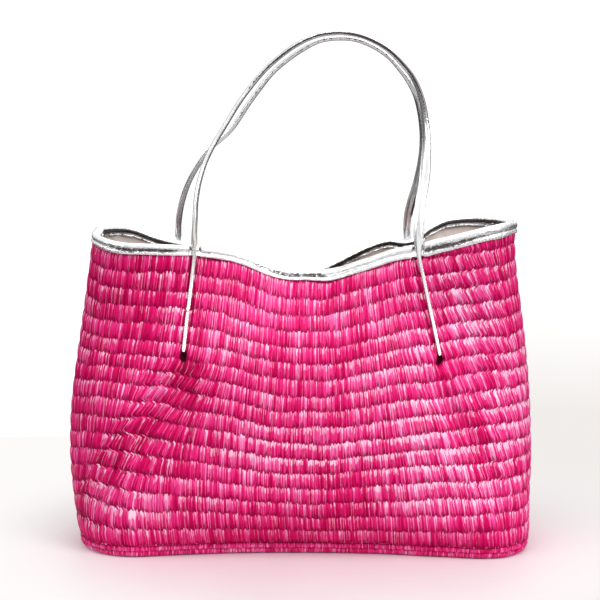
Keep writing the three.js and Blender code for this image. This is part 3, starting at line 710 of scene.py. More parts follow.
def dye_light_shade_at(s, z, side):
    k = np.zeros_like(s); w = np.zeros_like(s)
    # painted shade: dark spots in the tucks under the strap ends, and softer dark patches below them
    tuck_shade = [(*HOLE[(side, sg)], 2.7, 4.4, -2.0, -2.0) for sg in (1, -1)] + [(HOLE[(side, 1)][0] + 5, HOLE[(side, 1)][1] - 26, 15, 24, -0.15, -0.2)]
    tuck_shade += [(HOLE[(side, 1)][0] + 4, HOLE[(side, 1)][1] - 12, 10, 11, -0.20, -0.3), (HOLE[(side, -1)][0] + 10, HOLE[(side, -1)][1] - 20, 14, 24, -0.16, -0.3)]
    for a, b, ra, rb, amt, tip in (DYE_LIGHT_SHADE_F if side < 0 else DYE_B) + tuck_shade:
        g = np.exp(-((s - a) / ra) ** 2 - ((z - b) / rb) ** 2)
        k += amt * g; w += tip * g
    # a dark line of shadow on both sides of the sewn strap ends
    for s0, z0, s1, z1 in TAIL_LINE[side]:
        d = np.abs(s - np.interp(z, [z1, z0], [s1, s0]))
        k += -0.55 * np.exp(-((d - 2.9) / 1.3) ** 2) * smooth(z1 - 1, z1 + 5, z)
    return k, w


def row_shift(s, z, side):
    """The fold lifts the rows at its ridge: they run level to it from the side seam and slope down past it."""
    line = FOLD_FL if side < 0 else FOLD_BL
    ls = np.array([q[0] for q in line], float)[::-1]; lz = np.array([q[1] for q in line], float)[::-1]
    rs = np.interp(z, lz, ls)
    w = smooth(4, 45, z) * (1 - smooth(150, 225, z))
    d = s - rs
    g = np.where(d > 0, np.exp(-np.maximum(d, 0) / 74.0), 0.62 + 0.38 * np.exp(np.minimum(d, 0) / 24.0))
    g = g * smooth(0, 70, s) ** 0.7
    return -0.80 * w * g


def straw_lean(s, z, side):
    """Sideways run of the straws per unit of height: they follow the folds instead of standing upright."""
    line = FOLD_FL if side < 0 else FOLD_BL
    ls = np.array([q[0] for q in line], float)[::-1]; lz = np.array([q[1] for q in line], float)[::-1]
    d = s - np.interp(z, lz, ls)
    left = 0.42 * smooth(-40, 8, d) * (1 - smooth(14, 92, d)) * smooth(0, 30, z) * (1 - smooth(165, 205, z))
    right = 0.28 * smooth(330, 520, s) * (0.35 + 0.65 * smooth(15, 90, z))
    return left - right


def straw_panel(name, side):
    sub = 2
    us = np.arange(0, NS * sub + 1) / sub
    s = np.interp(us, np.arange(NS + 1), PLACES)
    s = np.clip(s, 0.05, 574.95)
    seg = 11
    rmax = top_rows(s, side)
    n_lev = int(17 * seg) + 2
    lev = np.linspace(0, 1, n_lev)
    U, L = np.meshgrid(us, lev, indexing="ij")
    S = np.broadcast_to(s[:, None], U.shape)
    topz = rim_z(s, side)
    # the cloth runs up under the binding
    zt = topz - 4.0
    zb = topz - BIND_H * lean(s, side)
    # rows: constant pitch at one place of the girth, counted up from the base seam
    pitch = (zb - SEAM_Z) / rmax
    Z = SEAM_Z + 0.3 + L * (zt[:, None] - SEAM_Z - 0.3)
    R = (Z - SEAM_Z) / pitch[:, None]
    R = R + row_shift(S, Z - SEAM_Z, side)
    wob = 0.10 * noise2(S / 42.0, R * 0.6, 71 + side) * smooth(0.4, 1.5, R)
    R = R + wob
    H = (Z - SEAM_Z) / (topz[:, None] - SEAM_Z)
    D, RR = straw_relief(S, U, R, side)
    saw = np.interp(RR - np.floor(RR), [0.0, 0.12, 0.90, 1.0], [0.0, -0.45, 0.5, 0.0])
    S2 = np.clip(S + saw * pitch[:, None] * straw_lean(S, Z - SEAM_Z, side) * smooth(0, 12, np.minimum(S, 575 - S)), 0.05, 574.95)
    P = wall(S2, H, side)
    N = normal_at(S2, H, side)
    fade = smooth(0.0, 7.0, np.minimum(S, 575 - S))
    D = D * (0.35 + 0.65 * fade) - 1.5 * (1 - smooth(0, 4.0, np.minimum(S, 575 - S)))
    # under the binding the cloth lies flat
    under = smooth(0, 2.0, Z - (zb[:, None] + 1.0))
    D = D * (1 - under) - 1.2 * under
    D = D + folds(S, Z - SEAM_Z, side)
    V = P + N * D[..., None]
    V[:, 0, 2] = SEAM_Z + 0.1
    # inner face, coarse
    step_c, step_r = sub * 6, seg
    ci = np.unique(np.concatenate([np.arange(0, len(us), step_c), [len(us) - 1]]))
    ri = np.unique(np.concatenate([np.arange(0, n_lev, step_r), [n_lev - 1]]))
    Si, Hi = S[np.ix_(ci, ri)], H[np.ix_(ci, ri)]
    zi = Z[np.ix_(ci, ri)] - SEAM_Z
    deep = -3.1 + folds(Si, zi, side, 0.0).clip(-6, 1) - pocket(Si, zi, side)
    Vi = wall(Si, Hi, side) + normal_at(Si, Hi, side) * deep[..., None]
    Vi[:, 0, 2] = SEAM_Z + 0.1
    n, m = V.shape[:2]; ni, mi = Vi.shape[:2]
    base = n * m
    idx = np.arange(n * m).reshape(n, m); idi = base + np.arange(ni * mi).reshape(ni, mi)
    quads = np.concatenate([grid_quads(n, m), grid_quads(ni, mi, base, flip=True)])
    tu, tui = us, us[ci]
    tl, tli = lev, lev[ri]
    tris = np.concatenate([
        bridge(idx[:, 0], idi[:, 0], tu, tui, True), bridge(idx[:, -1], idi[:, -1], tu, tui),
        bridge(idx[0, :], idi[0, :], tl, tli), bridge(idx[-1, :], idi[-1, :], tl, tli, True)])
    allV = np.concatenate([V.reshape(-1, 3), Vi.reshape(-1, 3)])
    uv = np.concatenate([np.stack([U, RR], -1).reshape(-1, 2), np.stack([U[np.ix_(ci, ri)], R[np.ix_(ci, ri)]], -1).reshape(-1, 2)])
    if side > 0:
        uv[:, 0] += 300
    quads, tris = orient(allV, quads, tris)
    k_, w_ = dye_light_shade_at(S, Z - SEAM_Z, side)
    dye_light_shade = np.zeros((len(allV), 2)); dye_light_shade[:base, 0] = k_.ravel(); dye_light_shade[:base, 1] = w_.ravel()
    ob = build(name, allV, quads, tris, uv, uv2=dye_light_shade)
    ob.data.materials.append(M_STRAW)
    return ob


for side, word in ((-1, "front"), (1, "back")):
    ob = straw_panel(f"straw_{word}", side)
    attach(ob, "bag"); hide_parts(f"{word}_panel")


# ------------------------------------------------------------------ base of straw cloth, turned up to the seam
def outline(inset, z, places):
    """Closed line round the base. places: list of (s, side)."""
    pts = []
    s = np.array([p[0] for p in places]); sd = np.array([p[1] for p in places])
    out = np.zeros((len(places), 3)); nn = np.zeros((len(places), 3))
    for side in (-1, 1):
        m = sd == side
        out[m] = wall(s[m], np.zeros(m.sum()), side)
        w = normal_at(s[m], np.full(m.sum(), 0.004), side)
        w[:, 2] = 0
        nn[m] = unit(w)
    r = out - nn * inset
    r[:, 2] = z
    return r, nn


def base_piece():
    sub = 3
    us = np.arange(0, NS * sub) / sub
    s = np.interp(us, np.arange(NS + 1), PLACES)
    places = [(a, -1) for a in s] + [(575 - a, 1) for a in s]
    U = np.concatenate([us, us + NS])
    n = len(places)
    # profile: (inset, z, row coordinate); two narrow rows with a groove between them
    prof = [(1.9, 12.0, 0.0), (0.9, 11.7, .04), (0.15, 11.0, .12), (-0.25, 10.0, .25), (-0.35, 9.1, .38), (-0.15, 8.1, .52), (0.25, 7.4, .66), (1.15, 6.8, .82), (1.7, 6.55, .98),
            (1.2, 6.2, 1.06), (0.55, 5.6, 1.16), (0.35, 4.7, 1.3), (0.75, 3.5, 1.42), (1.6, 2.3, 1.55), (2.9, 1.3, 1.68), (4.6, 0.6, 1.8), (6.6, 0.15, 1.9), (9.0, 0.0, 2.0)]
    V, uv = [], []
    k = np.floor(U).astype(int); fu = U - k
    straw_c = np.clip(np.sin(math.pi * fu), 0, 1) ** 0.75
    for inset, z, row in prof:
        p, nn = outline(inset, z, places)
        own = hash2(k, np.full(n, int(row * 2)), 91)
        f = 0.15 + 0.85 * math.sin(math.pi * min(1, (row % 1.0)))
        d = (-(0.5 + 0.15 * own) * (1 - straw_c) + 0.22 * own) * f * (1 - smooth(1.7, 2.0, row))
        zz = 0.35 * np.sin(math.pi * U) * (1 if 0.7 < row < 1.1 else 0.25) * (0 if row in (0.0, 2.0) else 1)
        p = p + nn * d[:, None]
        p[:, 2] = np.maximum(p[:, 2] + zz, 0.0)
        if row == 0.0:
            p[:, 2] = 12.0
        V.append(p); uv.append(np.stack([U, np.full(n, row + 20)], -1))
    # underside: rings drawn in to a middle line
    edge, _ = outline(9.0, 0.0, places)
    mid = edge.copy(); mid[:, 0] = np.clip(edge[:, 0] * 0.80, -165, 165); mid[:, 1] = Y_SHIFT * 0.4
    rings = 26
    for q in range(1, rings + 1):
        f = q / rings
        p = edge * (1 - f) + mid * f
        r = p[:, 1] / 15.0
        p[:, 2] = 0.0 + 0.9 * (1 - np.abs(np.sin(math.pi * r)) ** 0.5) * smooth(0, 0.08, f)
        V.append(p); uv.append(np.stack([p[:, 0] / STRAW + 500, r + 40], -1))
    # inner face: up over the turned lip to the floor inside
    inner = [(2.9, 12.0), (3.6, 10.5), (3.8, 7.0), (5.2, 3.9), (9.8, 2.7)]
    V = np.array(V)                                   # rings x n x 3
    m = V.shape[0]
    allV = [V.reshape(-1, 3)]; uvs = [np.concatenate(uv)]
    quads = [grid_quads(m, n)]
    i = np.arange(m - 1) * n
    quads.append(np.stack([i + n - 1, i + n + n - 1, i + n, i], -1))          # close the ring
    # underside's slit along the middle line is closed by matching front and back places
    half = NS * sub
    last = (m - 1) * n
    a = np.arange(1, half - 1)
    partner = last + (n - a)
    q = np.stack([last + a, last + a + 1, last + (n - a - 1), partner], -1)
    quads.append(q)
    tri = [[last, last + 1, last + n - 1], [last + half - 1, last + half, last + half + 1]]
    b0 = m * n
    st = 6
    sel = np.arange(0, n, st); ni = len(sel)
    Vi = []
    for inset, z in inner:
        p, _ = outline(inset, z, places)
        Vi.append(p[sel])
    fl = np.array(Vi[-1]).copy(); c = fl.copy(); c[:, 0] = np.clip(fl[:, 0] * 0.8, -165, 165); c[:, 1] = Y_SHIFT * 0.4
    for f in (0.35, 0.7, 1.0):
        Vi.append(fl * (1 - f) + c * f)
    Vi = np.array(Vi); mi = Vi.shape[0]
    allV.append(Vi.reshape(-1, 3))
    uvs.append(np.zeros((mi * ni, 2)) + [10.3, 30.4])
    quads.append(grid_quads(mi, ni, b0, flip=True))
    i = b0 + np.arange(mi - 1) * ni
    quads.append(np.stack([i, i + ni, i + ni + ni - 1, i + ni - 1], -1))
    lasti = b0 + (mi - 1) * ni
    tris = [np.array(tri, np.int32)]
    # inner middle line: ni is even only if the count allows; close with a fan of strips
    hi = int(round(half / st))
    P = [lasti + k for k in range(0, hi + 1)]
    Q = [lasti + (ni - k) % ni for k in range(0, hi + 1)]
    strip = []
    for k in range(0, hi):
        for tr in ((P[k], P[k + 1], Q[k + 1]), (P[k], Q[k + 1], Q[k])):
            if len(set(tr)) == 3:
                strip.append(tr)
    if P[hi] != Q[hi] and (ni - 2 * hi) >= 1:
        rest = [lasti + k for k in range(hi, ni - hi + 1)]
        for k in range(1, len(rest) - 1):
            strip.append((rest[0], rest[k], rest[k + 1]))
    tris.append(np.array(strip, np.int32)[:, ::-1])
    # top lip between the outer and inner first rings
    A = np.concatenate([np.arange(n), [0]]); B = np.concatenate([b0 + np.arange(ni), [b0]])
    ta = np.arange(n + 1) / n; tb = np.concatenate([sel / n, [1.0]])
    tris.append(bridge(A, B, ta, tb))
    quads = np.concatenate(quads); tris = np.concatenate(tris)
    allV = np.concatenate(allV)
    quads, tris = orient(allV, quads, tris)
    ob = build("straw_base", allV, quads, tris, np.concatenate(uvs), uv2=np.zeros((len(allV), 2)) + [0.12, -0.10])
    ob.data.materials.append(M_STRAW)
    return ob


ob = base_piece()
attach(ob, "bag"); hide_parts("base_panel")


# ------------------------------------------------------------------ rim binding: one strip of crinkled leather folded over the edge
def rim_frame(s, side):
    """Rim point, up direction along the wall, outward normal."""
    h = np.ones_like(s)
    p = wall(s, h, side)
    L = rim_z(s, side) - SEAM_Z
    up = unit(p - wall(s, 1 - 3.0 / L, side))
    n = normal_at(s, h, side)
    return p, up, n, L


def rim_point(s, side, a, b):
    """Point at distance a outside the wall and b above the rim (mm, arrays)."""
    L = rim_z(s, side) - SEAM_Z
    below = np.minimum(b, 0.0) * lean(s, side)
    a = np.asarray(a, float) - 2.7 * np.clip(1 - np.minimum(s, 575 - s) / 30.0, 0, 1) ** 1.5
    h = 1 + below / L
    p = wall(s, h, side); n = normal_at(s, h, side)
    p1, up, n1, _ = rim_frame(s, side)
    return p + n * np.asarray(a)[..., None] + up * np.maximum(b, 0.0)[..., None]


# outward distance, height above the rim: the lower lip of the outer leg, the sewn fold, the full round roll, its inner side, the inner fold and lip
SECTION = np.array([
    [0.9, -11.7], [1.1, -12.4], [1.7, -12.6], [2.3, -12.2], [2.75, -11.3], [2.9, -10.3], [2.75, -9.4], [2.3, -8.7], [1.85, -8.0], [1.85, -7.2], [2.4, -6.4],
    [2.95, -5.3], [3.2, -4.0], [3.05, -2.6], [2.5, -1.3], [1.5, -0.4], [0.2, 0.1], [-1.4, 0.2], [-3.0, -0.1], [-4.6, -0.8], [-5.8, -1.9], [-6.4, -3.2],
    [-6.5, -4.4], [-6.1, -5.5], [-5.6, -6.4], [-5.6, -7.2], [-6.2, -8.0], [-6.9, -8.8], [-7.1, -9.6], [-6.7, -10.3], [-6.0, -10.5], [-5.5, -9.9]])
SECTION_IN = np.array([[-5.3, -8.0], [-5.2, -5.0], [-4.4, -2.6], [-2.4, -1.4], [-0.2, -1.6], [0.75, -3.0], [0.9, -7.0]])


def binding():
    step = 1.15
    n_side = int(575 / step)
    s1 = np.linspace(0, 575, n_side + 1)
    # arc length round the section, resampled densely
    nv = len(SECTION)
    sec = np.vstack([SECTION, SECTION_IN])
    closed = np.vstack([sec, sec[:1]])
    ln = np.concatenate([[0], np.cumsum(np.linalg.norm(np.diff(closed, axis=0), axis=1))])
    m = 80
    q = np.linspace(0, ln[-1], m, endpoint=False)
    A = spline(ln, closed[:, 0], q); B = spline(ln, closed[:, 1], q)
    nx = np.gradient(B); ny = -np.gradient(A)
    nrm = np.stack([nx, ny], -1); nrm = nrm / np.linalg.norm(nrm, axis=1, keepdims=True)
    # outward from the section's middle line
    ctr = np.array([-2.0, -5.0])
    sgn = np.sign(((np.stack([A, B], -1) - ctr) * nrm).sum(1).mean())
    nrm *= sgn
    inside = np.interp(q, [0, ln[nv - 1] - 0.5, ln[nv] + 1, ln[-2], ln[-1]], [1, 1, 0.1, 0.1, 1])
    # how far round the section lies from the two folds; this also weights the crinkles and the painted reflection and
    # shade
    q_out, q_in = ln[8] + 0.7, ln[24]
    w_out = np.clip(1.45 - np.abs(q - q_out) / 2.9, 0, 1)
    w_in = smooth(ln[20] + 0.1, ln[21] + 0.2, q) * (1 - 0.52 * smooth(ln[26] - 0.3, ln[27] - 0.2, q)) * (1 - 0.8 * smooth(ln[29], ln[30], q))
    # painted dark reflection along the front fold: strong at the two ends and in the dip, faint elsewhere
    streak_x = [-206, -190, -176, -130, -118, -104, -90, -66, -38, -16, 26, 36, 62, 88, 104, 114, 126, 142, 172, 194, 214]
    streak_amt = [0.05, 0.55, 0.95, 1.0, 0.35, 0.75, 0.45, 0.25, 0.6, 0.9, 0.85, 0.35, 0.45, 0.3, 0.15, 0.1, 0.85, 1.0, 0.8, 0.5, 0.2]
    halves, shade_marks = [], []
    for side, ss in ((-1, s1[:-1]), (1, s1[::-1][:-1])):
        S, Q = np.meshgrid(ss, q, indexing="ij")
        go = ss if side < 0 else 1150 - ss
        G = np.broadcast_to(go[:, None], S.shape)
        Am, Bm = np.broadcast_to(A, S.shape).copy(), np.broadcast_to(B, S.shape).copy()
        # crinkles: short creases across the strip, gathered in the fold, soft dents
        gather = 0.35 + 0.9 * np.maximum(w_out, 0.6 * w_in)[None, :]
        cr = fbm(G / 4.2, Q / 6.0, 130, 3) * 0.26 * gather
        ridge = 1 - np.abs(fbm(G / 2.6 + 0.5 * Q, Q / 4.0, 150, 2))
        cr += 0.22 * (ridge - 0.6) * gather
        cr += 0.38 * noise2(G / 23.0, Q / 14.0, 170)
        low = np.exp(-((Bm + 12.2) / 1.8) ** 2) * (Am > 0)
        cr += low * (0.22 * np.sin(2 * math.pi * G / 3.7) + 0.2 * noise2(G / 2.2, Q / 4.0, 190))
        # the pinch where each strap crosses
        word = "front" if side < 0 else "back"
        for x0, _, _ in TAILS[word]:
            sx = np.interp(x0 + X_SHIFT, wall(s1, np.full_like(s1, 0.97), side)[:, 0], s1)
            cr -= (Am > 0) * (1.5 * np.exp(-((S - sx - 4.4) / 1.5) ** 2) + 1.5 * np.exp(-((S - sx + 4.4) / 1.5) ** 2) + 0.9 * np.exp(-((S - sx) / 5.0) ** 2))
        cr = cr * inside[None, :]
        Am += nrm[None, :, 0] * cr; Bm += nrm[None, :, 1] * cr
        # wavy inner edge
        edge = (Am < -5) * np.exp(-((Bm + 9.8) / 1.5) ** 2)
        Bm += edge * (0.7 * noise2(G / 7.0, Q * 0, 210) + 0.5 * noise2(G / 2.6, Q * 0, 211))
        Am += edge * 0.5 * np.sin(2 * math.pi * G / 3.1 + 2.0 * noise2(G / 9.0, Q * 0, 212))
        halves.append(rim_point(S, side, Am, Bm))
        if side < 0:
            amt = np.interp(wall(ss, np.ones_like(ss), side)[:, 0] - X_SHIFT, streak_x, streak_amt)
        else:
            amt = np.clip(0.5 + 0.6 * noise2(ss / 37.0, ss * 0, 260), 0, 1)
        end = smooth(2, 22, np.minimum(ss, 575 - ss))
        # painted shade in the pinches on both sides of each strap
        nip_shade = np.zeros_like(ss)
        for x0, _, _ in TAILS[word]:
            sx = np.interp(x0 + X_SHIFT, wall(s1, np.full_like(s1, 0.97), side)[:, 0], s1)
            nip_shade = np.maximum(nip_shade, np.maximum(np.exp(-((ss - sx - 4.3) / 1.4) ** 2), np.exp(-((ss - sx + 4.3) / 1.4) ** 2)))
        shade_marks.append(np.stack([np.maximum(w_out[None, :] * amt[:, None], 1.3 * nip_shade[:, None] * (q < ln[15])[None, :]), np.broadcast_to(w_in[None, :], S.shape) * (0.35 + 0.65 * end[:, None])], -1))
    V = np.concatenate(halves)                     # n x m x 3
    n = V.shape[0]
    quads = grid_quads(n, m, close_n=True)
    i = np.arange(n); a = i * m + m - 1; b = ((i + 1) % n) * m + m - 1
    quads = np.concatenate([quads, np.stack([a, b, ((i + 1) % n) * m, i * m], -1)])
    flat = V.reshape(-1, 3)
    quads, _ = orient(flat, quads, None)
    ob = build("rim_binding", flat, quads, None, np.concatenate(shade_marks).reshape(-1, 2), "fold")
    ob.data.materials.append(M_BIND)
    return ob


ob = binding()
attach(ob, "bag"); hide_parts("rim_binding_front", "rim_binding_back")


# ------------------------------------------------------------------ stitches
def capsule_template(seg=6):
    """A stitch lying along +x, length 1 and radius 1 in the cross directions, dipping at both ends."""
    xs = np.array([0.0, 0.10, 0.28, 0.5, 0.72, 0.90, 1.0])
    rad = np.array([0.25, 0.8, 1.0, 1.0, 1.0, 0.8, 0.25])
    lift = np.array([-1.1, -0.2, 0.35, 0.5, 0.35, -0.2, -1.1])
    th = np.arange(seg) / seg * 2 * math.pi
    V = []
    for x, r, l in zip(xs, rad, lift):
        for a in th:
            V.append((x, r * math.cos(a), r * math.sin(a) + l))
    V = np.array(V)
    q = grid_quads(len(xs), seg)
    i = np.arange(len(xs) - 1) * seg
    q = np.concatenate([q, np.stack([i + seg - 1, i + 2 * seg - 1, i + seg, i], -1)])
    V = np.vstack([V, [[0, 0, -1.1]], [[1, 0, -1.1]]])
    c0, c1 = len(V) - 2, len(V) - 1
    tr = [(c0, (k + 1) % seg, k) for k in range(seg)] + [(c1, (len(xs) - 1) * seg + k, (len(xs) - 1) * seg + (k + 1) % seg) for k in range(seg)]
    return V, q, np.array(tr)


def stitches(name, starts, ends, normals, radius, material):
    T, q, tr = capsule_template()
    d = ends - starts; L = np.linalg.norm(d, axis=1, keepdims=True)
    x = d / L; z = unit(normals - (normals * x).sum(1, keepdims=True) * x); y = np.cross(z, x)
    n = len(starts)
    V = starts[:, None, :] + T[None, :, 0:1] * d[:, None, :] + radius * (T[None, :, 1:2] * y[:, None, :] + T[None, :, 2:3] * z[:, None, :])
    off = (np.arange(n) * len(T))[:, None, None]
    Q = (q[None] + off).reshape(-1, 4); R = (tr[None] + off).reshape(-1, 3)
    # one stitch decides the winding
    q1, t1 = orient(V[0], q, tr)
    if not np.array_equal(q1, q):
        Q, R = Q[:, ::-1], R[:, ::-1]
    ob = build(name, V.reshape(-1, 3), Q, R)
    ob.data.materials.append(material)
    return ob


for side, word in ((-1, "front"), (1, "back")):
    e = np.arange(2.0, 573.0, 3.7)
    s0, s1_ = e, e + 2.5
    bb = np.full(len(e), -10.9)
    aa = np.full(len(e), 2.78)
    st = stitches(f"binding_stitches_{word}", rim_point(s0, side, aa, bb), rim_point(s1_, side, aa, bb), normal_at((s0 + s1_) / 2, 1 + bb / (rim_z(e, side) - SEAM_Z), side), 0.34, M_THREAD)
    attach(st, "bag")


# ------------------------------------------------------------------ lining
def lining_piece(name, side):
    n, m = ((230, 110))
    s = np.linspace(0.6, 574.4, n)
    topz = rim_z(s, side)
    L = np.linspace(0, 1, m)
    S, T = np.meshgrid(s, L, indexing="ij")
    Z = 8.4 + T * (topz[:, None] - 5.0 - 8.4)
    H = np.clip((Z - SEAM_Z) / (topz[:, None] - SEAM_Z), 0, 1)
    P = wall(S, H, side); P[..., 2] = Z
    N = normal_at(S, H, side)
    off = 6.6 + (4.3 - 6.6) * smooth(0.88, 0.955, H)
    env = smooth(0.02, 0.15, T) * (1 - smooth(0.86, 0.93, T)) * smooth(0, 14, np.minimum(S, 575 - S))
    # hanging wrinkles: long and slightly slanted from the rim, soft swags lower down
    w = 1.5 * (0.5 + 0.5 * np.sin(S / 13.0 + 2.2 * fbm(S / 70, T * 2, 301 + side, 2) + 1.5 * T)) * smooth(0.2, 0.8, T)
    w += 2.2 * (0.5 + 0.5 * fbm(S / 38.0 + 1.2 * T, T * 3.0, 320 + side, 3))
    w += 0.5 * (1 - np.abs(fbm(S / 12.0, T * 9, 340 + side, 2)))
    D = off + env * w + smooth(0.02, 0.12, T) * (pocket(S, Z - SEAM_Z, side) - folds(S, Z - SEAM_Z, side, 0.0).clip(-6, 0))
    out = P - N * D[..., None]
    inn = P - N * (D + 0.8)[..., None]
    V = np.concatenate([out.reshape(-1, 3), inn.reshape(-1, 3)])
    b = n * m
    q = [grid_quads(n, m), grid_quads(n, m, b, flip=True)]
    i0 = np.arange(n - 1) * m
    q.append(np.stack([i0, b + i0, b + i0 + m, i0 + m], -1))
    i1 = i0 + m - 1
    q.append(np.stack([i1, i1 + m, b + i1 + m, b + i1], -1))
    j = np.arange(m - 1)
    q.append(np.stack([j, j + 1, b + j + 1, b + j], -1))
    j2 = (n - 1) * m + j
    q.append(np.stack([j2, b + j2, b + j2 + 1, j2 + 1], -1))
    quads, _ = orient(V, np.concatenate(q), None)
    ob = build(name, V, quads, None, None)
    ob.data.materials.append(M_LINING)
    return ob


for side, word in ((-1, "front"), (1, "back")):
    ob = lining_piece(f"lining_cloth_{word}", side)
    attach(ob, "bag"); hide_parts(f"lining_{word}")


def lining_floor():
    n = 240
    half = n // 2
    s = np.linspace(0, 575, half, endpoint=False)
    places = [(a, -1) for a in s] + [(575 - a, 1) for a in s]
    edge, _ = outline(7.0, 7.2, places)
    mid = edge.copy(); mid[:, 0] = np.clip(edge[:, 0] * 0.8, -165, 165); mid[:, 1] = Y_SHIFT * 0.4
    rings = 30
    top = []
    for q in range(rings + 1):
        f = q / rings
        p = edge * (1 - f) + mid * f
        w = smooth(0.02, 0.15, f)
        p[:, 2] = 7.7 + w * (0.9 + 0.9 * fbm(p[:, 0] / 60 + 7, p[:, 1] / 40 + 3, 401, 3))
        top.append(p)
    top = np.array(top); m = rings + 1
    V = top.reshape(-1, 3)
    bot = V.copy(); bot[:, 2] = V[:, 2] - 0.8
    b = m * n
    quads = []
    for base, flip in ((0, False), (b, True)):
        g = grid_quads(m, n, base, flip=flip); quads.append(g)
        i = base + np.arange(m - 1) * n
        c = np.stack([i + n - 1, i + 2 * n - 1, i + n, i], -1)
        quads.append(c[:, ::-1] if flip else c)
        last = base + (m - 1) * n
        a = np.arange(1, half - 1)
        c = np.stack([last + a, last + a + 1, last + (n - a - 1), last + (n - a)], -1)
        quads.append(c[:, ::-1] if flip else c)
    i = np.arange(n)
    quads.append(np.stack([i, b + i, b + (i + 1) % n, (i + 1) % n], -1))
    last = (m - 1) * n
    tr = [(last, last + 1, last + n - 1), (last + half - 1, last + half, last + half + 1)]
    tr = tr + [tuple(b + x for x in t[::-1]) for t in tr]
    V = np.vstack([V, bot])
    quads, tris = orient(V, np.concatenate(quads), np.array(tr))
    ob = build("lining_cloth_floor", V, quads, tris)
    ob.data.materials.append(M_LINING)
    return ob


ob = lining_floor()
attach(ob, "bag"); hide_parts("lining_base")


# ------------------------------------------------------------------ straps: each one piece, tip to tip
def catmull(pts, per=24):
    """Centripetal curve through points, densely sampled, with the place (0..n-1) of each sample."""
    out, place = [], []
    n = len(pts)
    for i in range(n - 1):
        p1, p2 = pts[i], pts[i + 1]
        p0 = pts[i - 1] if i else 2 * pts[0] - pts[1]
        p3 = pts[i + 2] if i + 2 < n else 2 * pts[-1] - pts[-2]
        d0, d1, d2 = (max(np.sum((b - a) ** 2) ** 0.25, 1e-4) for a, b in ((p0, p1), (p1, p2), (p2, p3)))
        t1 = ((p1 - p0) / d0 - (p2 - p0) / (d0 + d1) + (p2 - p1) / d1) * d1
        t2 = ((p2 - p1) / d1 - (p3 - p1) / (d1 + d2) + (p3 - p2) / d2) * d1
        w = np.arange(per) / per if i < n - 2 else np.linspace(0, 1, per + 1)
        w = w[:, None]
        out.append((2 * w**3 - 3 * w * w + 1) * p1 + (w**3 - 2 * w * w + w) * t1 + (-2 * w**3 + 3 * w * w) * p2 + (w**3 - w * w) * t2)
        place.append(i + w[:, 0])
    return np.concatenate(out), np.concatenate(place)


def find_s(x, h, side):
    lo, hi = 30.0, 545.0
    for _ in range(40):
        mid = (lo + hi) / 2
        if wall(mid, h, side)[0] < x:
            lo = mid
        else:
            hi = mid
    return (lo + hi) / 2


def tail_points(side, x0, x1, tip):
    """Centre, wide direction, width, thickness from the rim down to the tip."""
    s_top = find_s(x0 + X_SHIFT, 1.0, side); z_top = float(rim_z(np.array(s_top), side)) - 4
    rows = []
    for i in range(15):
        k = i / 14; z = z_top + (tip - z_top) * k; x = x0 + (x1 - x0) * k + X_SHIFT
        h, s = 0.9, s_top
        for _ in range(6):
            s = find_s(x, h, side); h = (z - SEAM_Z) / (float(rim_z(np.array(s), side)) - SEAM_Z)
        b = (1 - h) * (float(rim_z(np.array(s), side)) - SEAM_Z)
        n = normal_at(np.array(s), np.array(h), side)
        over = 1 - float(smooth(BIND_H + 0.5, BIND_H + 8, b))
        p = wall(np.array(s), np.array(h), side)
        if side < 0:
            n = unit(n)
        along = unit(wall(np.array(s), np.array(min(1, h + 0.01)), side) - wall(np.array(s), np.array(h - 0.01), side))
        wide = unit(np.cross(along, n))
        lift = 0.9 + over * (3.3 - 0.9)
        t = 2.4
        w = 3.5 + (4.0 - 3.5) * over
        rows.append((p + n * (lift + t / 2), wide, w, t, b))
    return rows


# how far each strap is turned about its own line: it leaves the left feet edge forward and the right ones face forward
TURN = {"front": [80, 82, 83, 84, 85, 86, 86, 86, 87, 88, 90, 90, 90, 90, 90, 90, 88, 84, 80, 74, 64, 52, 38, 24, 14, 8, 6],
        "back": [56, 62, 66, 70, 74, 78, 80, 83, 86, 88, 90, 90, 90, 90, 90, 90, 88, 84, 80, 76, 70, 64, 58, 54, 52, 50, 48]}


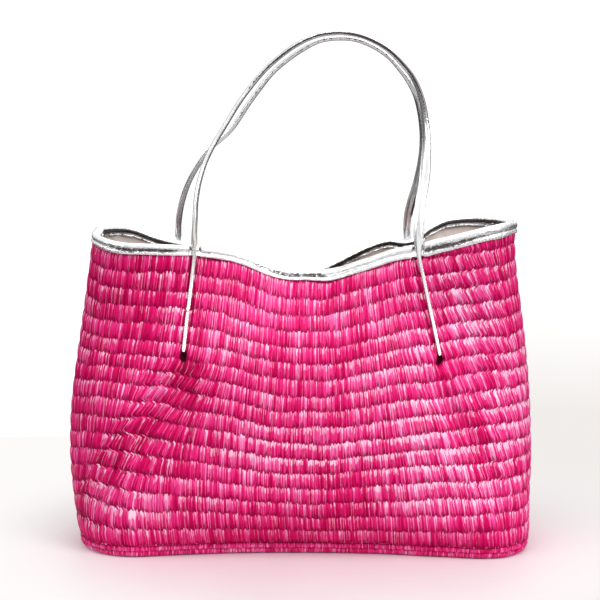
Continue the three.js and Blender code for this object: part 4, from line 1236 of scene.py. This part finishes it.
def strap_path(word):
    side = -1 if word == "front" else 1
    H = (HANDLE_F if word == "front" else HANDLE_B).copy()
    H[:, 0] += X_SHIFT; H[:, 1] += Y_SHIFT
    pts = H[:, :3]
    seg = np.concatenate([[0], np.cumsum(np.linalg.norm(np.diff(pts, axis=0), axis=1))])
    us = seg / seg[-1]
    C, place = catmull(pts)
    ln = np.concatenate([[0], np.cumsum(np.linalg.norm(np.diff(C, axis=0), axis=1))])
    u = ln / ln[-1]
    T = unit(np.gradient(C, axis=0))
    a = np.radians(spline(us, TURN[word], u))[:, None]
    sideways = unit(np.cross([0, 1, 0], T)); depth = unit(np.cross(T, sideways))
    W = sideways * np.cos(a) + depth * np.sin(a)
    keep = (ln > 5.0) & (ln < ln[-1] - 5.0)
    C, W = C[keep], W[keep]
    left = tail_points(side, *TAILS[word][0])
    right = tail_points(side, *TAILS[word][1])
    # below the rim the strap lies on the wall; it leaves it over the binding
    left = [r for r in left if r[4] > 7.0][::-1]
    right = [r for r in right if r[4] > 7.0]

    def fix(rows, ref):
        out = []
        for r in rows:
            w = r[1] if np.dot(r[1], ref) > 0 else -r[1]
            out.append((r[0], w, r[2], r[3], r[4]))
        return out
    left = fix(left, W[0]); right = fix(right, W[-1])
    mids = C[::8]; mw = W[::8]
    P = np.array([r[0] for r in left] + list(mids) + [r[0] for r in right])
    Wd = np.array([r[1] for r in left] + list(mw) + [r[1] for r in right])
    nl, nr, nm = len(left), len(right), len(mids)
    width = np.array([r[2] for r in left] + [10.6] * nm + [r[2] for r in right])
    width[nl:nl + 3] *= [0.42, 0.56, 0.80]              # drawn in where it passes over the binding
    thick = np.array([r[3] for r in left] + [5.0] * nm + [r[3] for r in right])
    curve, pl = catmull(P, 10)
    k = np.arange(len(P))
    Wc = np.stack([np.interp(pl, k, Wd[:, j]) for j in range(3)], -1)
    wc, tc = np.interp(pl, k, width), np.interp(pl, k, thick)
    ln = np.concatenate([[0], np.cumsum(np.linalg.norm(np.diff(curve, axis=0), axis=1))])
    step = 1.3
    n = int(ln[-1] / step)
    g = np.linspace(0, ln[-1], n)
    C = np.stack([np.interp(g, ln, curve[:, j]) for j in range(3)], -1)
    Wc = np.stack([np.interp(g, ln, Wc[:, j]) for j in range(3)], -1)
    wc, tc = np.interp(g, ln, wc), np.interp(g, ln, tc)
    # smooth the passage from tail to handle
    def soften(a, times):
        a = a.copy()
        for _ in range(times):
            a[1:-1] = (a[:-2] + 2 * a[1:-1] + a[2:]) / 4
        return a
    near = np.maximum(np.exp(-((C[:, 2] - 306) / 26) ** 2), 0)[:, None]
    C = C * (1 - near) + soften(C, 60) * near
    Wc = soften(Wc, 30)
    wc, tc = soften(wc, 60), soften(tc, 60)
    T = unit(np.gradient(C, axis=0))
    Wc = unit(Wc - (Wc * T).sum(1, keepdims=True) * T)
    D = np.cross(T, Wc)
    return g, C, T, Wc, D, wc, tc


def strap_profile(n=36):
    """Section of two turned leather strips sewn over a cord: a dome, a stitched channel near each edge, a thin lip. Unit width and thickness, as +-1."""
    x = np.array([1.0, 0.99, 0.95, 0.87, 0.78, 0.70, 0.60, 0.45, 0.30, 0.15, 0.0])
    y = np.array([0.0, 0.36, 0.52, 0.57, 0.56, 0.59, 0.68, 0.83, 0.94, 0.99, 1.0])
    top = np.stack([x, y], -1)
    left = top[::-1].copy()[1:]; left[:, 0] *= -1
    upper = np.vstack([top, left])                      # from +1 over the top to -1
    lower = upper[::-1][1:-1].copy(); lower[:, 1] *= -1
    return np.vstack([upper, lower])


PROFILE = strap_profile()
for word, body in (("front", "front_handle"), ("back", "back_handle")):
    g, C, T, W, D, wc, tc = strap_path(word)
    n, m = len(g), len(PROFILE)
    # the thin tails are plain folded strips: their section loses the dome
    slim = np.clip((tc - 2.4) / (5.0 - 2.4), 0, 1)[:, None]
    flat = PROFILE.copy()
    rr = np.abs(PROFILE[:, 0])
    flat[:, 1] = np.sign(PROFILE[:, 1]) * np.sqrt(np.clip(1 - rr**4, 0, 1)) * 0.95
    X = np.broadcast_to(PROFILE[:, 0], (n, m))
    Y = PROFILE[None, :, 1] * slim + flat[None, :, 1] * (1 - slim)
    # hand-made unevenness
    G = np.broadcast_to(g[:, None], (n, m)); A = np.broadcast_to(np.arange(m)[None, :] * 1.0, (n, m))
    seed = 500 if word == "front" else 520
    un = 0.05 * fbm(G / 9.0, A / 5.0, seed, 2) + 0.10 * noise2(G / 34.0, A / 9.0, seed + 9)
    endf = np.minimum(g, g[-1] - g)
    taper = np.sqrt(np.clip(1 - (1 - np.clip(endf / 2.2, 0, 1)) ** 2, 0.0, 1))
    taper[0] = taper[-1] = 0.18
    ww = wc / 2 * (1 + 0.03 * noise2(g / 17.0, g * 0, seed + 3)); th = tc / 2
    V = C[:, None, :] + W[:, None, :] * (X * ww[:, None] * (0.5 + 0.5 * taper[:, None]) * 1.0)[..., None] + D[:, None, :] * (Y * th[:, None] * taper[:, None])[..., None]
    rad = unit(W[:, None, :] * X[..., None] * 0.6 + D[:, None, :] * Y[..., None])
    V = V + rad * (un * np.minimum(1, taper[:, None]))[..., None]
    quads = grid_quads(n, m)
    i = np.arange(n - 1) * m
    quads = np.concatenate([quads, np.stack([i + m - 1, i + 2 * m - 1, i + m, i], -1)])
    Vf = V.reshape(-1, 3)
    c0 = V[0].mean(0); c1 = V[-1].mean(0)
    Vf = np.vstack([Vf, c0, c1])
    k = np.arange(m)
    tris = np.concatenate([np.stack([np.full(m, n * m), (k + 1) % m, k], -1), np.stack([np.full(m, n * m + 1), (n - 1) * m + k, (n - 1) * m + (k + 1) % m], -1)])
    quads, tris = orient(Vf, quads, tris)
    # the sewn edges are dark where the two leather strips meet, partly their own colour and partly painted shade,
    # strongest in the arch; painted reflection greys the domed faces along the upper part
    loop = np.concatenate([PROFILE, PROFILE[:1]]) * [5.3, 2.5]
    run = np.concatenate([[0], np.cumsum(np.linalg.norm(np.diff(loop, axis=0), axis=1))])
    half = np.argmin(PROFILE[:, 0])
    from_edge = np.minimum.reduce([run[:-1], run[-1] - run[:-1], np.abs(run[:-1] - run[half])])
    cx, cz = C[:, 0] - X_SHIFT, C[:, 2]
    above = smooth(322, 345, cz)
    if word == "front":
        edge_shade_amt = above * (0.25 + 0.75 * smooth(-75, -20, cx) * smooth(400, 450, cz))
        e_wide = 1.0 + 0.7 * smooth(30, 70, cx) * smooth(440, 480, cz)
        face_reflection_amt = 0.75 * above * smooth(380, 420, cz) * (1 - smooth(20, 80, cx))
    else:
        edge_shade_amt = above * np.where(cx < 0, 0.6 * smooth(410, 440, cz), np.maximum(0.9 * (1 - smooth(400, 450, cz)), 0.6))
        e_wide = 1.0 + 0.9 * (1 - smooth(380, 440, cz))
        face_reflection_amt = 0.7 * above * smooth(400, 430, cz)
    edge_dark_shade = np.clip(1.5 - from_edge[None, :] / (1.15 * e_wide[:, None]), 0, 1) * edge_shade_amt[:, None]
    face_reflection_shade = np.clip((np.abs(PROFILE[:, 1])[None, :] - 0.62) / 0.2, 0, 1) * face_reflection_amt[:, None]
    # painted shade: low on the left, one face of the back strap is greyed
    if word == "back":
        face_reflection_shade = np.maximum(face_reflection_shade, np.clip((-PROFILE[:, 1][None, :] - 0.3) / 0.4, 0, 1) * (smooth(300, 306, cz) * (1 - smooth(385, 435, cz)) * (cx < 0))[:, None])
    uv = np.concatenate([np.stack([edge_dark_shade, face_reflection_shade], -1).reshape(-1, 2), [[0, 0], [0, 0]]])
    ob = build(f"strap_{word}", Vf, quads, tris, uv, "fold")
    ob.data.materials.append(M_STRAP)
    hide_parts(f"handle_{word}_cover", f"handle_tail_{word}_left", f"handle_tail_{word}_right")
    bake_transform(ob)
    # edge stitches on both faces
    e = np.arange(6.0, g[-1] - 8.0, 3.1)
    S0, S1, NN = [], [], []
    for face in (1, -1):
        for edge in (1, -1):
            for start, end, acc in ((e, e + 2.5, None),):
                def at(q):
                    c = np.stack([np.interp(q, g, C[:, j]) for j in range(3)], -1)
                    w = unit(np.stack([np.interp(q, g, W[:, j]) for j in range(3)], -1))
                    d = unit(np.stack([np.interp(q, g, D[:, j]) for j in range(3)], -1))
                    hw, ht = np.interp(q, g, ww), np.interp(q, g, th)
                    sl = np.interp(q, g, slim[:, 0])
                    yy = 0.55 * sl + 0.84 * (1 - sl)
                    return c + w * (edge * 0.78 * hw)[:, None] + d * (face * (yy * ht + 0.02))[:, None], d * face
                p0, d0 = at(start); p1, _ = at(end)
                S0.append(p0); S1.append(p1); NN.append(d0)
    st = stitches(f"strap_stitches_{word}", np.concatenate(S0), np.concatenate(S1), np.concatenate(NN), 0.13, M_THREAD)
    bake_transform(st)

# ------------------------------------------------------------------ pieces of the CAD model that stay, out of sight inside
for node, mat in (("base_board", M_BOARD), ("side_seam_tape_left", M_TAPE), ("side_seam_tape_right", M_TAPE),
                  ("handle_front_core", M_CORD), ("handle_back_core", M_CORD)):
    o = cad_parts[node]
    if not o.material_slots:
        o.data.materials.append(mat)
    for sl in o.material_slots:
        sl.material = mat

# ------------------------------------------------------------------ floor, light, camera
def stage():
    """A pale table top; its far edge is the faint horizon behind the bag."""
    V, n = [], 144
    radii = [60, 120, 180, 240, 300, 360, 420, 480, 520, 545, 556, 560]
    for rr in radii:
        k6 = 6.0 * (rr / radii[-1]) ** 2 + 2.0
        for k in range(n):
            a = 2 * math.pi * k / n
            q = rr / (abs(math.cos(a)) ** k6 + abs(math.sin(a)) ** k6) ** (1 / k6)
            V.append((q * math.cos(a), q * math.sin(a) - 40.0 * rr / radii[-1], 0.0))
    V = np.array(V + [(0, 0, 0)])
    m = len(radii)
    i = np.arange(m - 1)[:, None] * n; k = np.arange(n)[None, :]
    quads = np.stack([i + k, i + n + k, i + n + (k + 1) % n, i + (k + 1) % n], -1).reshape(-1, 4)
    tris = np.stack([np.full(n, len(V) - 1), np.arange(n), (np.arange(n) + 1) % n], -1)
    ob = build("floor", V, quads, tris)
    t = Tree("floor_mat")
    p = t.obj()
    f = t.noise(p, 6.0, 3.0, 0.5)
    c = t.mix(t.rng(f, 0.35, 0.65, 0, 1), (0.735, 0.722, 0.716, 1), (0.755, 0.742, 0.736, 1))
    sp = t.n("ShaderNodeSeparateXYZ"); t.t.links.new(p, sp.inputs[0])
    # painted light: the table is whiter to the left, lifting the bag's shadow there
    c = t.mix(t.rng(sp.outputs[0], -0.26, -0.02, 1.0, 0.0, True), c, (0.81, 0.797, 0.79, 1))
    # painted light: the straw's pink bounce light painted on the table close to the bag
    ex = t.math("DIVIDE", sp.outputs[0], 1.40)
    near = t.math("SQRT", t.math("ADD", t.math("POWER", ex, 2.0), t.math("POWER", t.math("SUBTRACT", sp.outputs[1], 0.0), 2.0)))
    painted_bounce = t.rng(near, 0.07, 0.29, 1.0, 0.0, True)
    c = t.mix(t.math("MULTIPLY", painted_bounce, 0.60), c, (0.735, 0.545, 0.63, 1))
    t.put(t.b.inputs["Base Color"], c)
    t.put(t.b.inputs["Roughness"], t.rng(f, 0.3, 0.7, 0.45, 0.55))
    t.b.inputs["Specular IOR Level"].default_value = 0.2
    far = t.math("SQRT", t.math("ADD", t.math("POWER", t.math("MAXIMUM", t.math("DIVIDE", sp.outputs[0], 1.2), t.math("DIVIDE", sp.outputs[0], -0.85)), 2.0), t.math("POWER", sp.outputs[1], 2.0)))
    em = t.n("ShaderNodeEmission"); em.inputs[1].default_value = 1.0
    right = t.rng(sp.outputs[0], -0.30, 0.34, 0.0, 1.0, True)
    t.put(em.inputs[0], t.mix(right, (0.985, 0.965, 0.95, 1), (0.885, 0.85, 0.83, 1)))
    mx = t.n("ShaderNodeMixShader")
    t.t.links.new(t.rng(far, 0.20, 0.46, 0.0, 1.0, True), mx.inputs[0])
    t.t.links.new(t.b.outputs[0], mx.inputs[1]); t.t.links.new(em.outputs[0], mx.inputs[2])
    t.t.links.new(mx.outputs[0], t.out.inputs[0])
    ob.data.materials.append(t.m)
    return ob


stage()
scene = bpy.context.scene
world = bpy.data.worlds.new("studio")
scene.world = world
world.use_nodes = True
wt = world.node_tree
wt.nodes.clear()
wo = wt.nodes.new("ShaderNodeOutputWorld")
tc = wt.nodes.new("ShaderNodeTexCoord"); sp = wt.nodes.new("ShaderNodeSeparateXYZ")
wt.links.new(tc.outputs["Generated"], sp.inputs[0])
mr = wt.nodes.new("ShaderNodeMapRange"); mr.inputs[1].default_value = -1.0; mr.inputs[2].default_value = 1.0
wt.links.new(sp.outputs[2], mr.inputs[0])


def sky(stops, strength):
    """Brightness by the height of the direction; 0.5 is the horizon."""
    rp = wt.nodes.new("ShaderNodeValToRGB")
    wt.links.new(mr.outputs[0], rp.inputs[0])
    r = rp.color_ramp
    while len(r.elements) < len(stops):
        r.elements.new(0.5)
    for e, (p_, v_) in zip(r.elements, stops):
        e.position = p_; e.color = (v_, v_, v_ * 1.01, 1)
    bg = wt.nodes.new("ShaderNodeBackground"); bg.inputs[1].default_value = strength
    wt.links.new(rp.outputs[0], bg.inputs[0])
    return bg.outputs[0]


# what lights cloth: mostly from above. What metal mirrors: white above, a dark room low in front
soft = sky([(0.0, 0.64), (0.40, 0.38), (0.50, 0.30), (0.60, 0.37), (0.74, 0.85), (1.0, 1.0)], 0.62)
mirror = sky([(0.0, 0.5), (0.18, 0.30), (0.26, 0.07), (0.50, 0.06), (0.545, 0.32), (0.595, 0.58), (0.65, 0.98), (1.0, 1.05)], 1.0)
white = wt.nodes.new("ShaderNodeBackground"); white.inputs[0].default_value = (1, 1, 1, 1); white.inputs[1].default_value = 1.1
# the backdrop turns warm grey low on the right
low = wt.nodes.new("ShaderNodeMapRange"); low.inputs[1].default_value = 0.436; low.inputs[2].default_value = 0.404
wt.links.new(mr.outputs[0], low.inputs[0])
side_ = wt.nodes.new("ShaderNodeMapRange"); side_.inputs[1].default_value = -0.10; side_.inputs[2].default_value = 0.08
wt.links.new(sp.outputs[0], side_.inputs[0])
both = wt.nodes.new("ShaderNodeMath"); both.operation = "MULTIPLY"
wt.links.new(low.outputs[0], both.inputs[0]); wt.links.new(side_.outputs[0], both.inputs[1])
back_c = wt.nodes.new("ShaderNodeValToRGB")
back_c.color_ramp.elements[0].color = (1.0, 1.0, 1.0, 1); back_c.color_ramp.elements[1].color = (0.804, 0.773, 0.755, 1)
wt.links.new(both.outputs[0], back_c.inputs[0]); wt.links.new(back_c.outputs[0], white.inputs[0])
lp = wt.nodes.new("ShaderNodeLightPath")
m1 = wt.nodes.new("ShaderNodeMixShader"); m2 = wt.nodes.new("ShaderNodeMixShader")
wt.links.new(lp.outputs["Is Glossy Ray"], m1.inputs[0]); wt.links.new(soft, m1.inputs[1]); wt.links.new(mirror, m1.inputs[2])
wt.links.new(lp.outputs["Is Camera Ray"], m2.inputs[0]); wt.links.new(m1.outputs[0], m2.inputs[1]); wt.links.new(white.outputs[0], m2.inputs[2])
wt.links.new(m2.outputs[0], wo.inputs[0])


def area(name, loc, target, size, power, colour=(1, 1, 1)):
    l = bpy.data.lights.new(name, "AREA"); l.shape = "RECTANGLE"; l.size, l.size_y = size
    l.energy = power; l.color = colour
    o = bpy.data.objects.new(name, l)
    scene.collection.objects.link(o)
    from mathutils import Vector
    o.location = Vector(loc)
    d = Vector(target) - Vector(loc)
    o.rotation_euler = d.to_track_quat("-Z", "Y").to_euler()
    return o


area("key_right", (1.9, -2.0, 1.7), (0.05, 0, 0.2), (1.5, 1.5), 48)
area("top_front", (0.15, -0.8, 2.2), (0, 0, 0.2), (2.0, 1.2), 26)
area("fill_left", (-2.3, -1.2, 1.3), (0, 0, 0.25), (0.9, 0.9), 12)
area("back", (0.3, 2.4, 1.9), (0, 0, 0.3), (2.0, 1.0), 14)
# a low white card in front, only for the metal to mirror
card = area("card", (0.0, -1.05, 0.20), (0.0, 0.0, 0.24), (1.5, 0.42), 1.95)
card.visible_camera = False; card.visible_diffuse = False
card = area("card_right", (1.05, -0.35, 0.22), (0.2, 0.0, 0.26), (0.9, 0.36), 0.9)
card.visible_camera = False; card.visible_diffuse = False

cam = bpy.data.cameras.new("camera")
cam.lens = 120.0; cam.sensor_width = 36.0; cam.sensor_fit = "HORIZONTAL"
cam.clip_end = 60
co = bpy.data.objects.new("camera", cam)
scene.collection.objects.link(co)
el = math.radians(8.0)
look = np.array([-0.00071, -0.05731, 0.260])
co.location = look + 2.0 * np.array([0, -math.cos(el), math.sin(el)])
co.rotation_euler = (math.radians(90) - el, 0, 0)
scene.camera = co
scene.view_settings.view_transform = "Standard"
scene.view_settings.look = "None"
